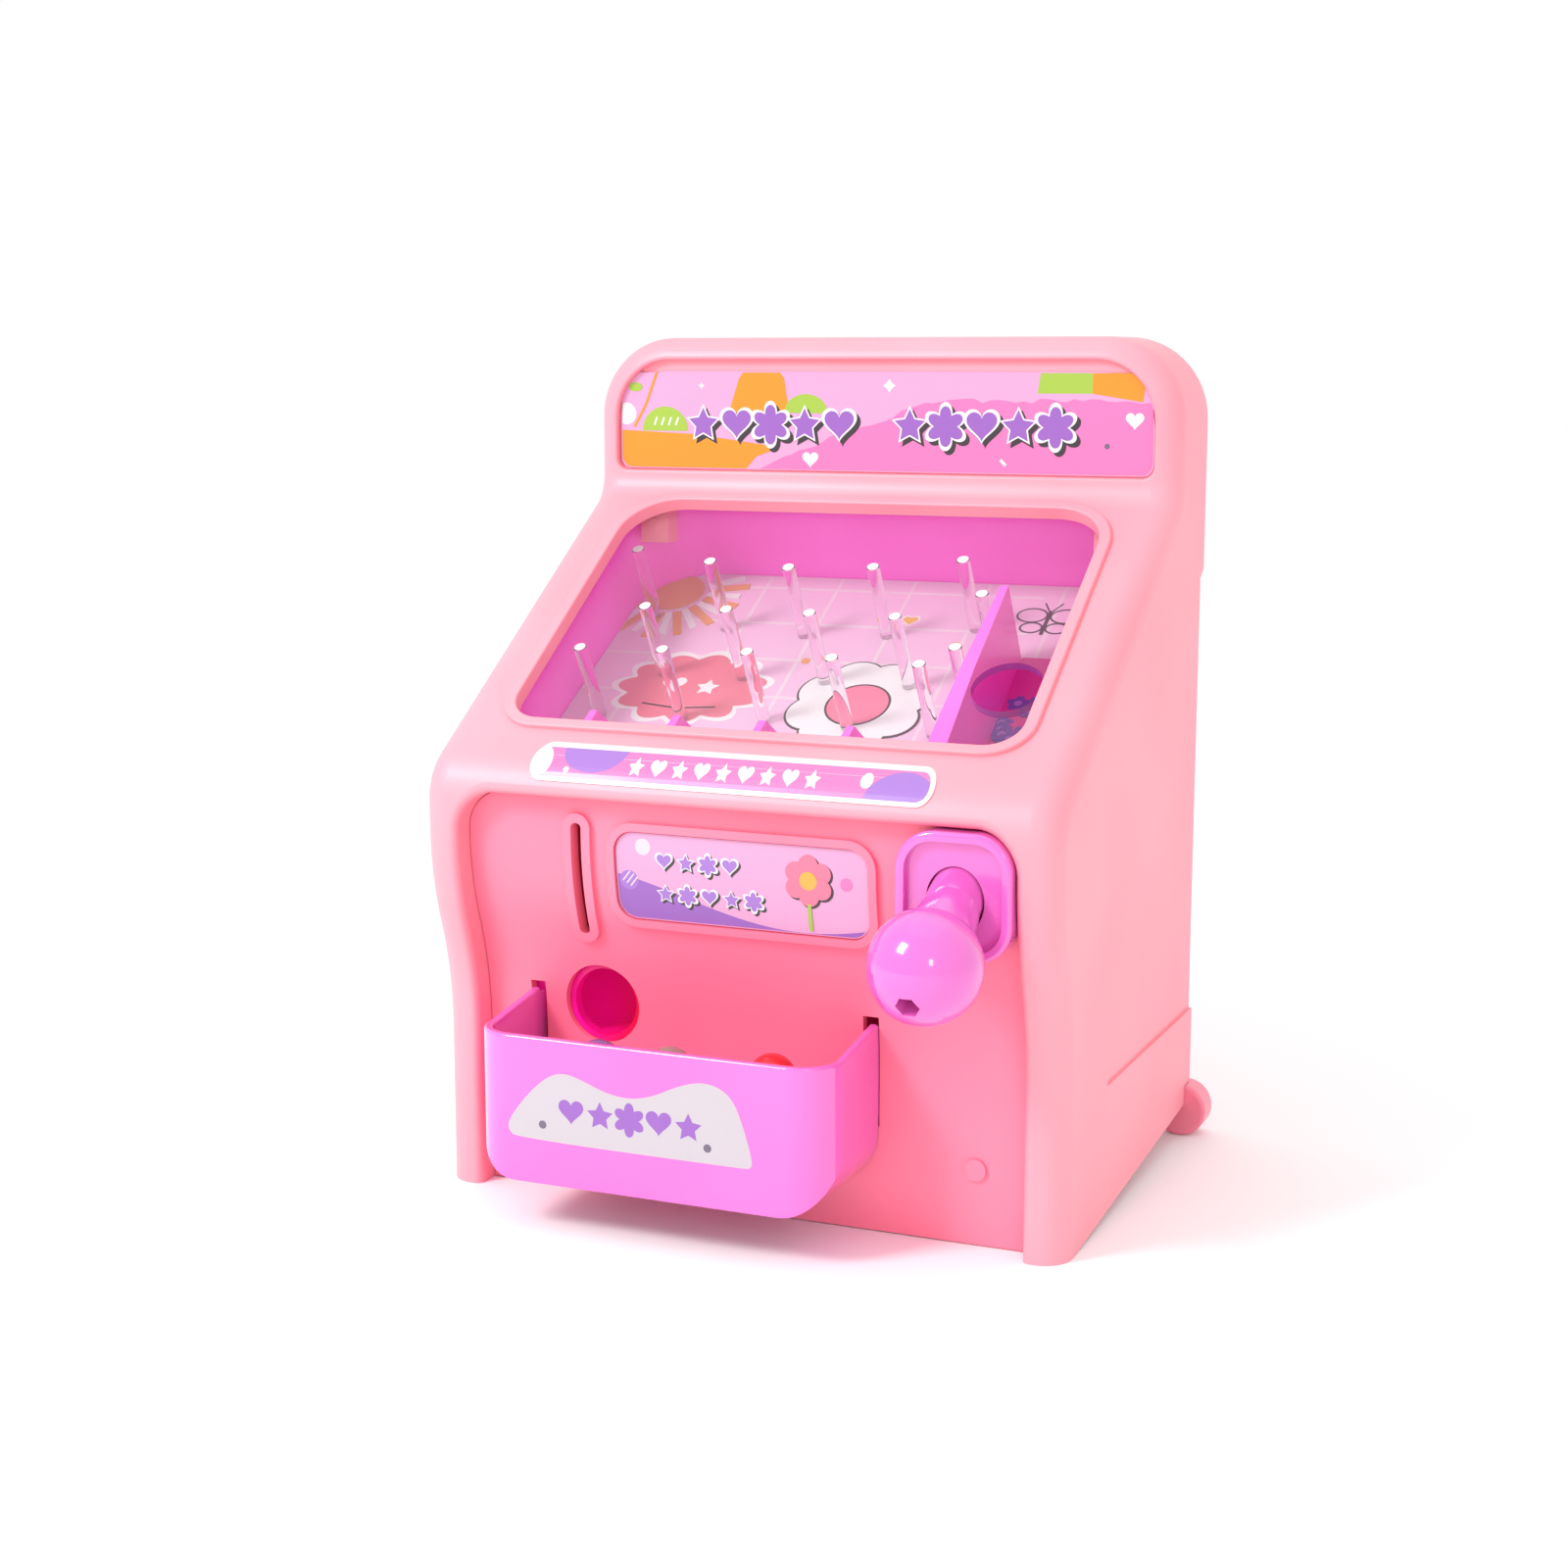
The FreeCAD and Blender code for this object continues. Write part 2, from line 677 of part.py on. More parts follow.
def coin_door():
    edge = door_width / 2.0
    plate = block(-edge, edge, case_back - door_wall, case_back, door_pin_z, door_high)
    barrel = cylinder((-edge, door_pin_y, door_pin_z), (1, 0, 0), door_barrel_r, door_width)
    pull = rounded_prism(-9, 9, door_high - 6, door_high - 3, 1.4, 1.4, case_back - 0.5, case_back + 1.5)
    bore = cylinder((-edge - 1, door_pin_y, door_pin_z), (1, 0, 0), door_pin_r + rod_fit, door_width + 2)
    return only_solid(fused([plate, barrel, pull]).cut(bore))


def door_pin():
    reach = door_width / 2.0 + 6
    return cylinder((-reach, door_pin_y, door_pin_z), (1, 0, 0), door_pin_r, 2 * reach)


# ---- play box ---------------------------------------------------------------------------------
floor_slant = math.radians(field_angle)
tub_back_v = field_back + tub_wall
tub_back_y = tub_back_v * math.cos(floor_slant) + floor_wall * math.sin(floor_slant)
tub_back_z = field_height + tub_back_v * math.sin(floor_slant)


def peg_places():
    """Peg centres on the floor: an arched back row, a middle row, a front row and two spares."""
    places = []
    for k in range(5):
        x = -64.0 + peg_pitch * k
        places.append((x, 95.0 + 6.0 * ((k - 2) / 2.0) ** 2))
        places.append((x + 2.5, 56.5 + 1.5 * (1 - abs(k - 2) / 2.0)))
    for k in range(4):
        places.append((-51.0 + peg_pitch * k, 75.4))
    places.append((divider_x - 5.2, 64.0))
    places.append((divider_x - 5.2, 86.5))
    return places


def tub_block(grow, low):
    edge = field_half + grow
    flat = rounded_slab(-edge, edge, -30, field_back + grow, 1, field_corner + grow, low, 60)
    return on_floor(flat)


def play_tub():
    outer = tub_block(tub_wall, -floor_wall).cut(block(-half, half, -60, tub_front - tub_wall, 0, 200))
    inner = tub_block(0, 0).cut(block(-half, half, -60, tub_front, 0, 200))
    tub = outer.cut(inner).cut(above_slope(wall + lens_thick))
    tub = tub.cut(block(-half, half, -60, case_back, tub_top, case_height))
    boss = turned(bush_r + 2, bush_start + bush_flange, boss_end).cut(above_slope(wall + lens_thick))
    cuts = [block(drop_left, drop_right, drop_near, drop_far, field_height - 6, field_height + 16),
            turned(bush_flange_r + press_gap, bush_start - 9, bush_start + bush_flange),
            turned(bush_r + press_gap, bush_start, boss_end + 9)]
    reach = coin_gap / 2.0 + coin_wall + face_gap
    cuts.append(block(slot_x - reach, slot_x + reach, 0, coin_end + face_gap, field_height - 9,
                      coin_roof + face_gap))
    for x in (-post_x, post_x):
        edge = post_size / 2.0 + face_gap
        cuts.append(block(x - edge, x + edge, sign_face, sign_face + post_deep + face_gap,
                          post_low - face_gap, post_high))
    for x, v in peg_places():
        cuts.append(on_floor(Part.makeCylinder(peg_r + press_gap, peg_grip + 5, Vector(x, v, -peg_grip))))
    return only_solid(tub.fuse(boss).cut(Part.makeCompound(cuts)))


def pegs():
    solids = []
    for x, v in peg_places():
        peg = Part.makeCylinder(peg_r, peg_length + card_thick + peg_grip, Vector(x, v, -peg_grip))
        top = [edge for edge in peg.Edges if edge.BoundBox.ZMin > peg_length - 1]
        solids.append(on_floor(peg.makeFillet(0.35, top)))
    return Part.makeCompound(solids)


def divider_plan(grow, low, high):
    """Long wedge in plan: thin at its far end, thicker towards the player."""
    x0 = divider_x - divider_thin / 2.0 - grow
    points = [(x0, 0), (x0 + divider_thick + 2 * grow, 0), (x0 + divider_thin + 2 * grow, divider_v + grow),
              (x0, divider_v + grow)]
    wire = Part.makePolygon([Vector(x, y, low) for x, y in points + points[:1]])
    return on_floor(Part.Face(wire).extrude(Vector(0, 0, high - low)))


def playfield_card():
    edge = field_half - 0.3
    card = on_floor(rounded_slab(-edge, edge, card_start, field_back - 0.3, 1, field_corner, 0, card_thick))
    cuts = [divider_plan(fit_gap, -1, 2)]
    for x, v in peg_places():
        cuts.append(on_floor(Part.makeCylinder(peg_r + 0.2, 4, Vector(x, v, -2))))
    return only_solid(card.cut(Part.makeCompound(cuts)))


def lane_divider():
    wedge = divider_plan(0, 0, divider_height).cut(block(-half, half, -60, tub_front, 0, 200))
    return only_solid(wedge.cut(above_slope(trim)))


def pocket_fins():
    """Upright fins with a spread foot that part the front of the floor into pockets."""
    fins = []
    foot_v = card_start - 1.0
    tip_v = foot_v - 7.0
    for k in range(4):
        x = -51.0 + peg_pitch * k
        section = [(x - fin_foot / 2.0, 0), (x + fin_foot / 2.0, 0), (x + fin_thick / 2.0, pocket_height),
                   (x - fin_thick / 2.0, pocket_height)]
        wire = Part.makePolygon([Vector(p, 0, w) for p, w in section + section[:1]])
        fin = Part.Face(wire).extrude(Vector(0, foot_v, 0))
        back = Part.makePolygon([Vector(x - 20, v, w) for v, w in
                                 ((foot_v, 0), (foot_v + 20, 0), (foot_v + 20, 30), (tip_v - 5, 30),
                                  (tip_v, pocket_height), (foot_v, 0))])
        fin = on_floor(fin.cut(Part.Face(back).extrude(Vector(40, 0, 0))))
        fin = fin.cut(block(-half, half, -60, tub_front, 0, 200)).cut(above_slope(trim))
        fins.append(only_solid(fin))
    return Part.makeCompound(fins)


def window_lens():
    start = window_low / math.cos(math.radians(slope_angle)) - 3.5
    end = window_low / math.cos(math.radians(slope_angle)) + window_length + 2.5
    lens = rounded_slab(-lens_half, lens_half, start, end, 3, 3, -wall - lens_thick, -wall)
    hole = Part.makeCylinder(feed_r, 20, Vector(feed_x, feed_y / math.cos(math.radians(slope_angle)), -10))
    return only_solid(tilted(lens.cut(hole), slope_angle, slope_z(0.0, 0.0)))


# ---- printed cards ----------------------------------------------------------------------------
def sign_card():
    gap = 0.4
    edge = sign_width / 2.0 - gap
    face = sign_face + sign_depth
    return rounded_prism(-edge, edge, sign_low + gap, sign_high - 3.0, sign_low_r, sign_top_r - 1.5,
                         face - card_thick, face)


def strip_decal():
    thick = 0.3
    skin = case_solid(-thick, 0, case_back).cut(case_solid(-press_gap, 0, case_back + 1))
    outline = rounded_prism(-52, 50.4, 105.6, 113.6, 3.9, 3.9, front_high - 4, 6)
    return only_solid(skin.common(outline))


def label_card():
    inner = label_width / 2.0 - label_rim - 0.3
    outline = rounded_prism(label_x - inner, label_x + inner, label_low + label_rim + 0.3,
                            label_high - label_rim - 0.3, label_r - label_rim - 0.3,
                            label_r - label_rim - 0.3, front_high - 4, 9)
    return only_solid(outline.common(panel_band(panel_recess - card_thick, panel_recess - press_gap, -half,
                                                half, mouth_high, panel_low)))


def tray_decal():
    return rounded_prism(-52.0, 15.0, 22.5, 40.5, 4, 8, tray_front - 0.3, tray_front)


# ---- tray ---------------------------------------------------------------------------------------
def rim_edges(body):
    """Inner and outer edges of the tray's rim."""
    level = [edge for edge in body.Edges if edge.BoundBox.ZMin > tray_rim_front - 0.05]
    return [edge for edge in level if edge.BoundBox.YMax < tub_front + 19 or edge.BoundBox.YLength > 9]


def tray():
    x0 = tray_x - tray_width / 2.0
    x1 = tray_x + tray_width / 2.0
    back = tub_front + 20
    outer = rounded_prism(x0, x1, tray_low, tray_rim_back + 9, tray_bottom_r, 1, tray_front, back)
    outer = outer.common(rounded_slab(x0, x1, tray_front, back, tray_corner, 1, 0, 90))
    inner = rounded_slab(x0 + tray_wall, x1 - tray_wall, tray_front + tray_wall, back, tray_corner - tray_wall,
                         1, tray_floor, 90)
    under = rounded_prism(x0 + tray_wall, x1 - tray_wall, tray_low - 20, tray_floor - tray_wall,
                          1, 2, tray_front + tray_wall, back)
    under = under.common(rounded_prism(x0 + tray_wall, x1 - tray_wall, tray_low + tray_wall, 90,
                                       tray_bottom_r - tray_wall, 1, tray_front, back))
    under = under.common(rounded_slab(x0 + tray_wall, x1 - tray_wall, tray_front + tray_wall, back,
                                      tray_corner - tray_wall, 1, 0, 90))
    under_open = block(x0 + tray_bottom_r, x1 - tray_bottom_r, tray_front + tray_wall, back, 0,
                       tray_low + tray_wall + 0.1)
    body = outer.cut(inner).cut(under).cut(under_open.cut(under))
    rim_cut = polygon_x([(tray_front - 1, tray_rim_front), (tray_front + tray_corner, tray_rim_front),
                         (front_low + panel_recess, tray_rim_back), (back + 1, tray_rim_back),
                         (back + 1, 90), (tray_front - 1, 90)], x0 - 1, x1 + 1)
    body = body.cut(rim_cut)
    body = body.makeFillet(tray_lip_r, rim_edges(body))
    behind = panel_band(panel_recess - fit_gap, panel_recess + 40, -half, half, mouth_high, -5)
    keep = []
    for side_x in ((x0, x0 + tray_wall), (x1 - tray_wall, x1)):
        keep.append(block(side_x[0], side_x[1], front_low, front_low + panel_recess + panel_wall,
                          hook_low + 2, tray_rim_back - 1.5))
    tongues = body.common(Part.makeCompound(keep))
    return only_solid(body.cut(behind).fuse(tongues).removeSplitter())


def balls():
    """Three balls lying in the tray."""
    z = tray_floor + ball_r
    places = [(-28.5, -17.9), (-10.4, -16.7), (13.9, -12.6)]
    return Part.makeCompound([Part.makeSphere(ball_r, Vector(x, y, z)) for x, y in places])


# ---- shooter --------------------------------------------------------------------------------------
def plunger_plate():
    x0 = shooter_x - plate_width / 2.0
    x1 = shooter_x + plate_width / 2.0
    z0 = plate_z - plate_height / 2.0
    z1 = plate_z + plate_height / 2.0
    plate = rounded_prism(x0, x1, z0, z1, plate_r, plate_r, plate_front, 6)
    plate = plate.makeFillet(1.0, [e for e in plate.Edges if e.BoundBox.YMax < plate_front + 0.01])
    dish = rounded_prism(x0 + plate_rim, x1 - plate_rim, z0 + plate_rim, z1 - plate_rim,
                         plate_r - plate_rim, plate_r - plate_rim, plate_front - 1, plate_front + plate_dish)
    behind = panel_band(panel_recess - press_gap, panel_recess + 30, -half, half, mouth_high + 9, -5)
    return only_solid(plate.cut(dish).cut(behind).cut(turned(arm_root_r + 0.4, -40, 40)))


def shooter_bush():
    flange = turned(bush_flange_r, bush_start, bush_start + bush_flange)
    body = turned(bush_r, bush_start, bush_end)
    return flange.fuse(body).removeSplitter().cut(turned(rod_r + rod_fit, 0, bush_end + 1))


def shooter_rod():
    return turned(rod_r, -knob_reach + 3, head_start + head_length - 1)


def shooter_arm():
    cone_start = -knob_reach + math.sqrt(knob_r ** 2 - arm_end_r ** 2)
    plate_at = plate_front / math.cos(floor_slant)
    cone = Part.makeCone(arm_end_r, arm_root_r, plate_at - cone_start, on_axis(cone_start), axis)
    sleeve = turned(arm_root_r, plate_at, sleeve_start)
    return only_solid(cone.fuse(sleeve).removeSplitter().cut(turned(rod_r + press_gap, -knob_reach, 5)))


def shooter_knob():
    cone_start = -knob_reach + math.sqrt(knob_r ** 2 - arm_end_r ** 2)
    ball = Part.makeSphere(knob_r, on_axis(-knob_reach))
    ball = ball.cut(turned(2 * knob_r, cone_start, 2 * knob_r))
    corner = hex_across / math.sqrt(3.0)
    points = [Vector(corner * math.cos(math.radians(60 * k)), corner * math.sin(math.radians(60 * k)), 0)
              for k in range(7)]
    key = Part.Face(Part.makePolygon(points)).extrude(Vector(0, 0, 7))
    key.rotate(Vector(0, 0, 0), Vector(1, 0, 0), field_angle - 90)
    key.translate(on_axis(-knob_reach - knob_r - 1))
    return only_solid(ball.cut(key).cut(turned(rod_r + press_gap, -knob_reach + 3 - press_gap, 5)))


def shooter_head():
    head = turned(head_r, head_start, head_start + head_length)
    nose = [edge for edge in head.Edges
            if edge.Curve.TypeId == "Part::GeomCircle" and edge.CenterOfMass.y > on_axis(head_start + 1).y]
    head = head.makeFillet(1.2, nose)
    return head.cut(turned(rod_r + press_gap, head_start - 1, head_start + head_length - 1 + press_gap))


def shooter_clip():
    return ring(clip_r, rod_r + press_gap, clip_start, clip_start + clip_wall)


def shooter_spring():
    """Wire coil between the bush and the head."""
    start = bush_end + press_gap
    length = head_start - press_gap - start
    radius = spring_r - spring_wire / 2.0
    pitch = (length - spring_wire) / spring_turns
    helix = Part.makeLongHelix(pitch, pitch * spring_turns, radius)
    along = Vector(0, 2 * math.pi * radius, pitch)
    section = Part.Wire(Part.makeCircle(spring_wire / 2.0, Vector(radius, 0, 0), along))
    coil = Part.Wire(helix).makePipeShell([section], True, True)
    coil.rotate(Vector(0, 0, 0), Vector(1, 0, 0), field_angle - 90)
    coil.translate(on_axis(start + spring_wire / 2.0))
    return coil


# ---- inner chutes -----------------------------------------------------------------------------------
def chute_line(lift):
    """Floor line of the ball chute, falling from both ends to the flat under the outlet."""
    flat = chute_flat
    return [(chute_left, chute_floor + chute_left_rise + lift), (outlet_x - flat, chute_floor + lift),
            (outlet_x + flat, chute_floor + lift), (chute_right, chute_floor + chute_right_rise + lift)]


def prism_y(points, y0, y1):
    wire = Part.makePolygon([Vector(x, y0, z) for x, z in points + points[:1]])
    return Part.Face(wire).extrude(Vector(0, y1 - y0, 0))


def ball_chute():
    top = [(chute_right, chute_top), (chute_left, chute_top)]
    outer = prism_y(chute_line(0) + top, chute_near, chute_far)
    inner = prism_y(chute_line(chute_wall) + [(chute_right, chute_top + 5), (chute_left, chute_top + 5)],
                    chute_near + chute_wall, chute_far - chute_wall)
    inner = inner.common(block(chute_left + chute_wall, chute_right - chute_wall, 0, 90, 0, 200))
    spout_start = front_low + panel_recess + spout_inset
    spout = cylinder((outlet_x, spout_start, outlet_z), (0, 1, 0), outlet_r - fit_gap,
                     chute_near + 0.5 - spout_start)
    bore = cylinder((outlet_x, spout_start - 1, outlet_z), (0, 1, 0), outlet_r - chute_wall,
                    chute_near + chute_wall + 1.2 - spout_start)
    reach = coin_gap / 2.0 + coin_wall + face_gap
    coin_cut = block(slot_x - reach, slot_x + reach, 0, 40, coin_floor - coin_fall - coin_wall - 1, 120)
    chute = outer.cut(inner).fuse(spout).cut(bore).cut(coin_cut)
    return only_solid(chute.removeSplitter())


def coin_chute():
    """Narrow closed channel that carries a coin back over the ball chute."""
    reach = coin_gap / 2.0 + coin_wall
    inner_half_gap = coin_gap / 2.0
    outer = polygon_x([(0, coin_floor - coin_wall), (coin_end, coin_floor - coin_wall - coin_fall),
                       (coin_end, coin_roof), (0, coin_roof)], slot_x - reach, slot_x + reach)
    inner = polygon_x([(-9, coin_floor + 1.3), (coin_end + 1, coin_floor - coin_fall),
                       (coin_end + 1, coin_roof - coin_wall), (-9, coin_roof - coin_wall)],
                      slot_x - inner_half_gap, slot_x + inner_half_gap)
    in_front = panel_band(-20, panel_recess + panel_wall + 0.15, -half, half, mouth_high, 0)
    return only_solid(outer.cut(inner).cut(in_front))


nodes = {
    "front_shell": front_shell, "front_panel": front_panel, "back_cover": back_cover,
    "base_plate": base_plate, "rear_feet": rear_feet, "case_screws": case_screws,
    "window_lens": window_lens, "play_tub": play_tub, "playfield_card": playfield_card,
    "pegs": pegs, "lane_divider": lane_divider, "pocket_fins": pocket_fins,
    "sign_card": sign_card, "strip_decal": strip_decal, "label_card": label_card,
    "tray": tray, "tray_decal": tray_decal, "balls": balls, "plunger_plate": plunger_plate,
    "shooter_bush": shooter_bush, "shooter_rod": shooter_rod, "shooter_arm": shooter_arm,
    "shooter_knob": shooter_knob, "shooter_head": shooter_head, "shooter_clip": shooter_clip,
    "shooter_spring": shooter_spring, "ball_chute": ball_chute, "coin_chute": coin_chute,
    "coin_door": coin_door, "door_pin": door_pin,
}

if __name__ == "__main__":
    os.makedirs("parts", exist_ok=True)
    for name, build in nodes.items():
        shape = placed(build())
        shape.exportStep("parts/" + name + ".step")
        print(name, len(shape.Solids), round(shape.Volume), shape.isValid())
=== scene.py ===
import math
import random

import bmesh
import bpy
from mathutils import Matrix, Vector
from mathutils.bvhtree import BVHTree


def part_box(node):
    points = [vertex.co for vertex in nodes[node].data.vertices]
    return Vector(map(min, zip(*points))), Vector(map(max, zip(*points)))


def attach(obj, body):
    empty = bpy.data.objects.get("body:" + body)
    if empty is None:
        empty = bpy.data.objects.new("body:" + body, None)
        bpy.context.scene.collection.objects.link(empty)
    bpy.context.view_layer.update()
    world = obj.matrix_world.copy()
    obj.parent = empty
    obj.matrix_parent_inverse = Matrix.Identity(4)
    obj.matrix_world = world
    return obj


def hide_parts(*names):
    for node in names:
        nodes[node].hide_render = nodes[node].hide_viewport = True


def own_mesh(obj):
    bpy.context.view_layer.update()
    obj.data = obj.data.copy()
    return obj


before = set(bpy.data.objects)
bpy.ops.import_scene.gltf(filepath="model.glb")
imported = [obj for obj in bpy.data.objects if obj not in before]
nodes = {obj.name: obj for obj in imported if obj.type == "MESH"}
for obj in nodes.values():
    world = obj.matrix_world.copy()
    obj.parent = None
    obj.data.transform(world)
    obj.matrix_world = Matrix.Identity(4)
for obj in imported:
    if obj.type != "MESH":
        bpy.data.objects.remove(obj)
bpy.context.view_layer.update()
MM = 0.001
TILT = math.radians(30)                     # of the play floor and of the shooter's line
along = Vector((0, math.cos(TILT), math.sin(TILT)))
out_of_floor = Vector((0, -math.sin(TILT), math.cos(TILT)))


# ---- Case ----------------------------------------------------------------------------------------
# The case, its back cover, base and rear feet are injection-moulded ABS in one pale pink.
# The mould is spark-eroded very finely, so the skin is satin: soft highlights, no visible grain.
def linear(hex_colour):
    """sRGB hex to the linear values that a shader socket takes."""
    parts = [int(hex_colour[i:i + 2], 16) / 255.0 for i in (1, 3, 5)]
    return tuple(c / 12.92 if c <= 0.04045 else ((c + 0.055) / 1.055) ** 2.4 for c in parts) + (1.0,)


def add_node(tree, kind, inputs=None, **settings):
    """Adds one shader node; an input is a value or the output socket that feeds it."""
    made = tree.nodes.new("ShaderNode" + kind)
    for name, value in settings.items():
        setattr(made, name, value)
    for name, value in (inputs or {}).items():
        if isinstance(value, bpy.types.NodeSocket):
            tree.links.new(value, made.inputs[name])
        else:
            made.inputs[name].default_value = value
    return made


def new_material(name):
    made = bpy.data.materials.new(name)
    made.use_nodes = True
    made.node_tree.nodes.clear()
    return made


def finish_material(material, **inputs):
    tree = material.node_tree
    named = {key.replace("_", " "): value for key, value in inputs.items()}
    shader = add_node(tree, "BsdfPrincipled", named)
    add_node(tree, "OutputMaterial", {"Surface": shader.outputs["BSDF"]})
    return material


ROUGH_SPREAD = 0.04                         # the grit varies the roughness this much each way
GRIT_DEEP = 0.05 * MM


def moulded_abs(name, light, deep, roughness, coat, flow_mm=45.0, grit_mm=0.6, relief=0.05, polish=0.12,
                painted_glow=0.0):
    """Coloured ABS: slow tone drift from the melt's flow, and the fine grit of the mould's skin. Its
    emission, off unless asked for, is painted light in the ABS's own tone.
    """
    material = new_material(name)
    tree = material.node_tree
    place = add_node(tree, "TexCoord").outputs["Object"]
    flow = add_node(tree, "TexNoise", {"Vector": place, "Scale": 1 / (flow_mm * MM), "Detail": 1.0})
    tone = add_node(tree, "ValToRGB", {"Fac": flow.outputs["Fac"]})
    tone.color_ramp.elements[0].position = 0.3
    tone.color_ramp.elements[0].color = linear(deep)
    tone.color_ramp.elements[1].position = 0.7
    tone.color_ramp.elements[1].color = linear(light)
    grit = add_node(tree, "TexNoise", {"Vector": place, "Scale": 1 / (grit_mm * MM), "Detail": 2.0})
    rough = add_node(tree, "MapRange", {"Value": grit.outputs["Fac"], "To Min": roughness - ROUGH_SPREAD,
                                        "To Max": roughness + ROUGH_SPREAD})
    skin = add_node(tree, "Bump", {"Height": grit.outputs["Fac"], "Strength": relief,
                                   "Distance": GRIT_DEEP})
    return finish_material(material, Base_Color=tone.outputs["Color"], Roughness=rough.outputs["Result"],
                           Normal=skin.outputs["Normal"], IOR=1.53, Coat_Weight=coat, Coat_Roughness=polish,
                           Emission_Color=tone.outputs["Color"], Emission_Strength=painted_glow)


def paint(material, *names):
    for name in names:
        for slot in nodes[name].material_slots:
            slot.material = material


case_pink = moulded_abs("satin_pink_abs", "#FC9EAC", "#FA96A5", roughness=0.44, coat=0.04)
paint(case_pink, "front_shell", "back_cover", "base_plate", "coin_door")

# Painted shade: the rear feet are the case's pink, given a darker tone for the shade at the back of the
# case, and a glossier skin.
foot_painted_shade = moulded_abs("foot_painted_shade_abs", "#F5859D", "#F07C95", roughness=0.3, coat=0.15)
paint(foot_painted_shade, "rear_feet")


# ---- Front panel ---------------------------------------------------------------------------------
# The recessed panel is a separate ABS moulding in a slightly stronger pink than the case.
# It carries the coin slot, the frame of the label, the ball outlet and a small round boss.
panel_pink = moulded_abs("panel_pink_abs", "#FF849F", "#FD7896", roughness=0.42, coat=0.05)
paint(panel_pink, "front_panel")


# ---- Screws, pin and shooter metal ---------------------------------------------------------------
# Screws, hinge pin, shooter rod, clip and spring are steel with a bright zinc plate.
# Zinc is satin and slightly uneven, with cloudy crystals about a millimetre across.
def zinc_steel():
    material = new_material("bright_zinc_steel")
    tree = material.node_tree
    place = add_node(tree, "TexCoord").outputs["Object"]
    crystals = add_node(tree, "TexVoronoi", {"Vector": place, "Scale": 1 / (1.2 * MM)})
    tone = add_node(tree, "ValToRGB", {"Fac": crystals.outputs["Distance"]})
    tone.color_ramp.elements[0].color = linear("#B9BCC2")
    tone.color_ramp.elements[1].color = linear("#D6D8DC")
    rough = add_node(tree, "MapRange", {"Value": crystals.outputs["Distance"],
                                        "To Min": 0.26, "To Max": 0.4})
    return finish_material(material, Base_Color=tone.outputs["Color"], Metallic=1.0,
                           Roughness=rough.outputs["Result"])


zinc = zinc_steel()
paint(zinc, "case_screws", "door_pin", "shooter_rod", "shooter_clip")


# ---- Shooter spring ------------------------------------------------------------------------------
# A plain compression coil of round wire, seated on the bush at one end and on the striking head at
# the other. On the real shooter the head comes back as the knob is pulled and the coil shortens
# towards the bush; here the coil is built at one length and fixed to the case.
SPRING_FOOT = Vector((57.0, -29.144, 95.566)) * MM
SPRING_LONG = 16.54
SPRING_R = 4.0
WIRE_R = 0.4
SPRING_TURNS = 6
STEPS_A_TURN = 24
WIRE_SIDES = 10


def coil():
    """Tube of round section swept along the helix, closed at both ends."""
    steps, sides = STEPS_A_TURN * SPRING_TURNS, WIRE_SIDES
    across = Vector((1, 0, 0))
    pitch = (SPRING_LONG - 2 * WIRE_R) / SPRING_TURNS
    points, faces = [], []
    for k in range(steps + 1):
        turn = 2 * math.pi * SPRING_TURNS * k / steps
        outward = across * math.cos(turn) + out_of_floor * math.sin(turn)
        forward = (across * -math.sin(turn) + out_of_floor * math.cos(turn)) * SPRING_R
        forward = (forward + along * (pitch / (2 * math.pi))).normalized()
        sideways = forward.cross(outward)
        centre = outward * SPRING_R + along * (WIRE_R + pitch * SPRING_TURNS * k / steps)
        for side in range(sides):
            spin = 2 * math.pi * side / sides
            spot = centre + (outward * math.cos(spin) + sideways * math.sin(spin)) * WIRE_R
            points.append(SPRING_FOOT + spot * MM)
    for k in range(steps):
        for side in range(sides):
            after = (side + 1) % sides
            near, far = k * sides, (k + 1) * sides
            faces.append((near + side, near + after, far + after, far + side))
    faces.append(tuple(range(sides))[::-1])
    faces.append(tuple(range(steps * sides, (steps + 1) * sides)))
    mesh = bpy.data.meshes.new("coil_spring")
    mesh.from_pydata(points, [], faces)
    for face in mesh.polygons:
        face.use_smooth = len(face.vertices) == 4
    mesh.materials.append(zinc)
    return mesh


coil_spring = bpy.data.objects.new("coil_spring", coil())
bpy.context.scene.collection.objects.link(coil_spring)
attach(coil_spring, "case")
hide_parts("shooter_spring")
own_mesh(coil_spring)


# ---- Bush and striking head ----------------------------------------------------------------------
# The guide bush and the head that strikes the ball are natural acetal, off-white and waxy.
acetal = moulded_abs("natural_acetal", "#F1EFEA", "#E8E6E0", roughness=0.42, coat=0.0, flow_mm=12.0)
paint(acetal, "shooter_bush", "shooter_head")


# ---- Play box, divider, fins and chutes ----------------------------------------------------------
# The play box and everything that guides a ball is hot pink ABS, glossier than the case.
# Light through the window comes through the thin box walls; their emission paints that light, so the box
# shines from within though it holds no lamp.
tub_pink = moulded_abs("hot_pink_abs", "#FB5CD6", "#F44ECA", roughness=0.24, coat=0.2, painted_glow=0.1)
paint(tub_pink, "play_tub")
guide_pink = moulded_abs("guide_pink_abs", "#F562D2", "#EE50C8", roughness=0.22, coat=0.2)
paint(guide_pink, "lane_divider", "pocket_fins")


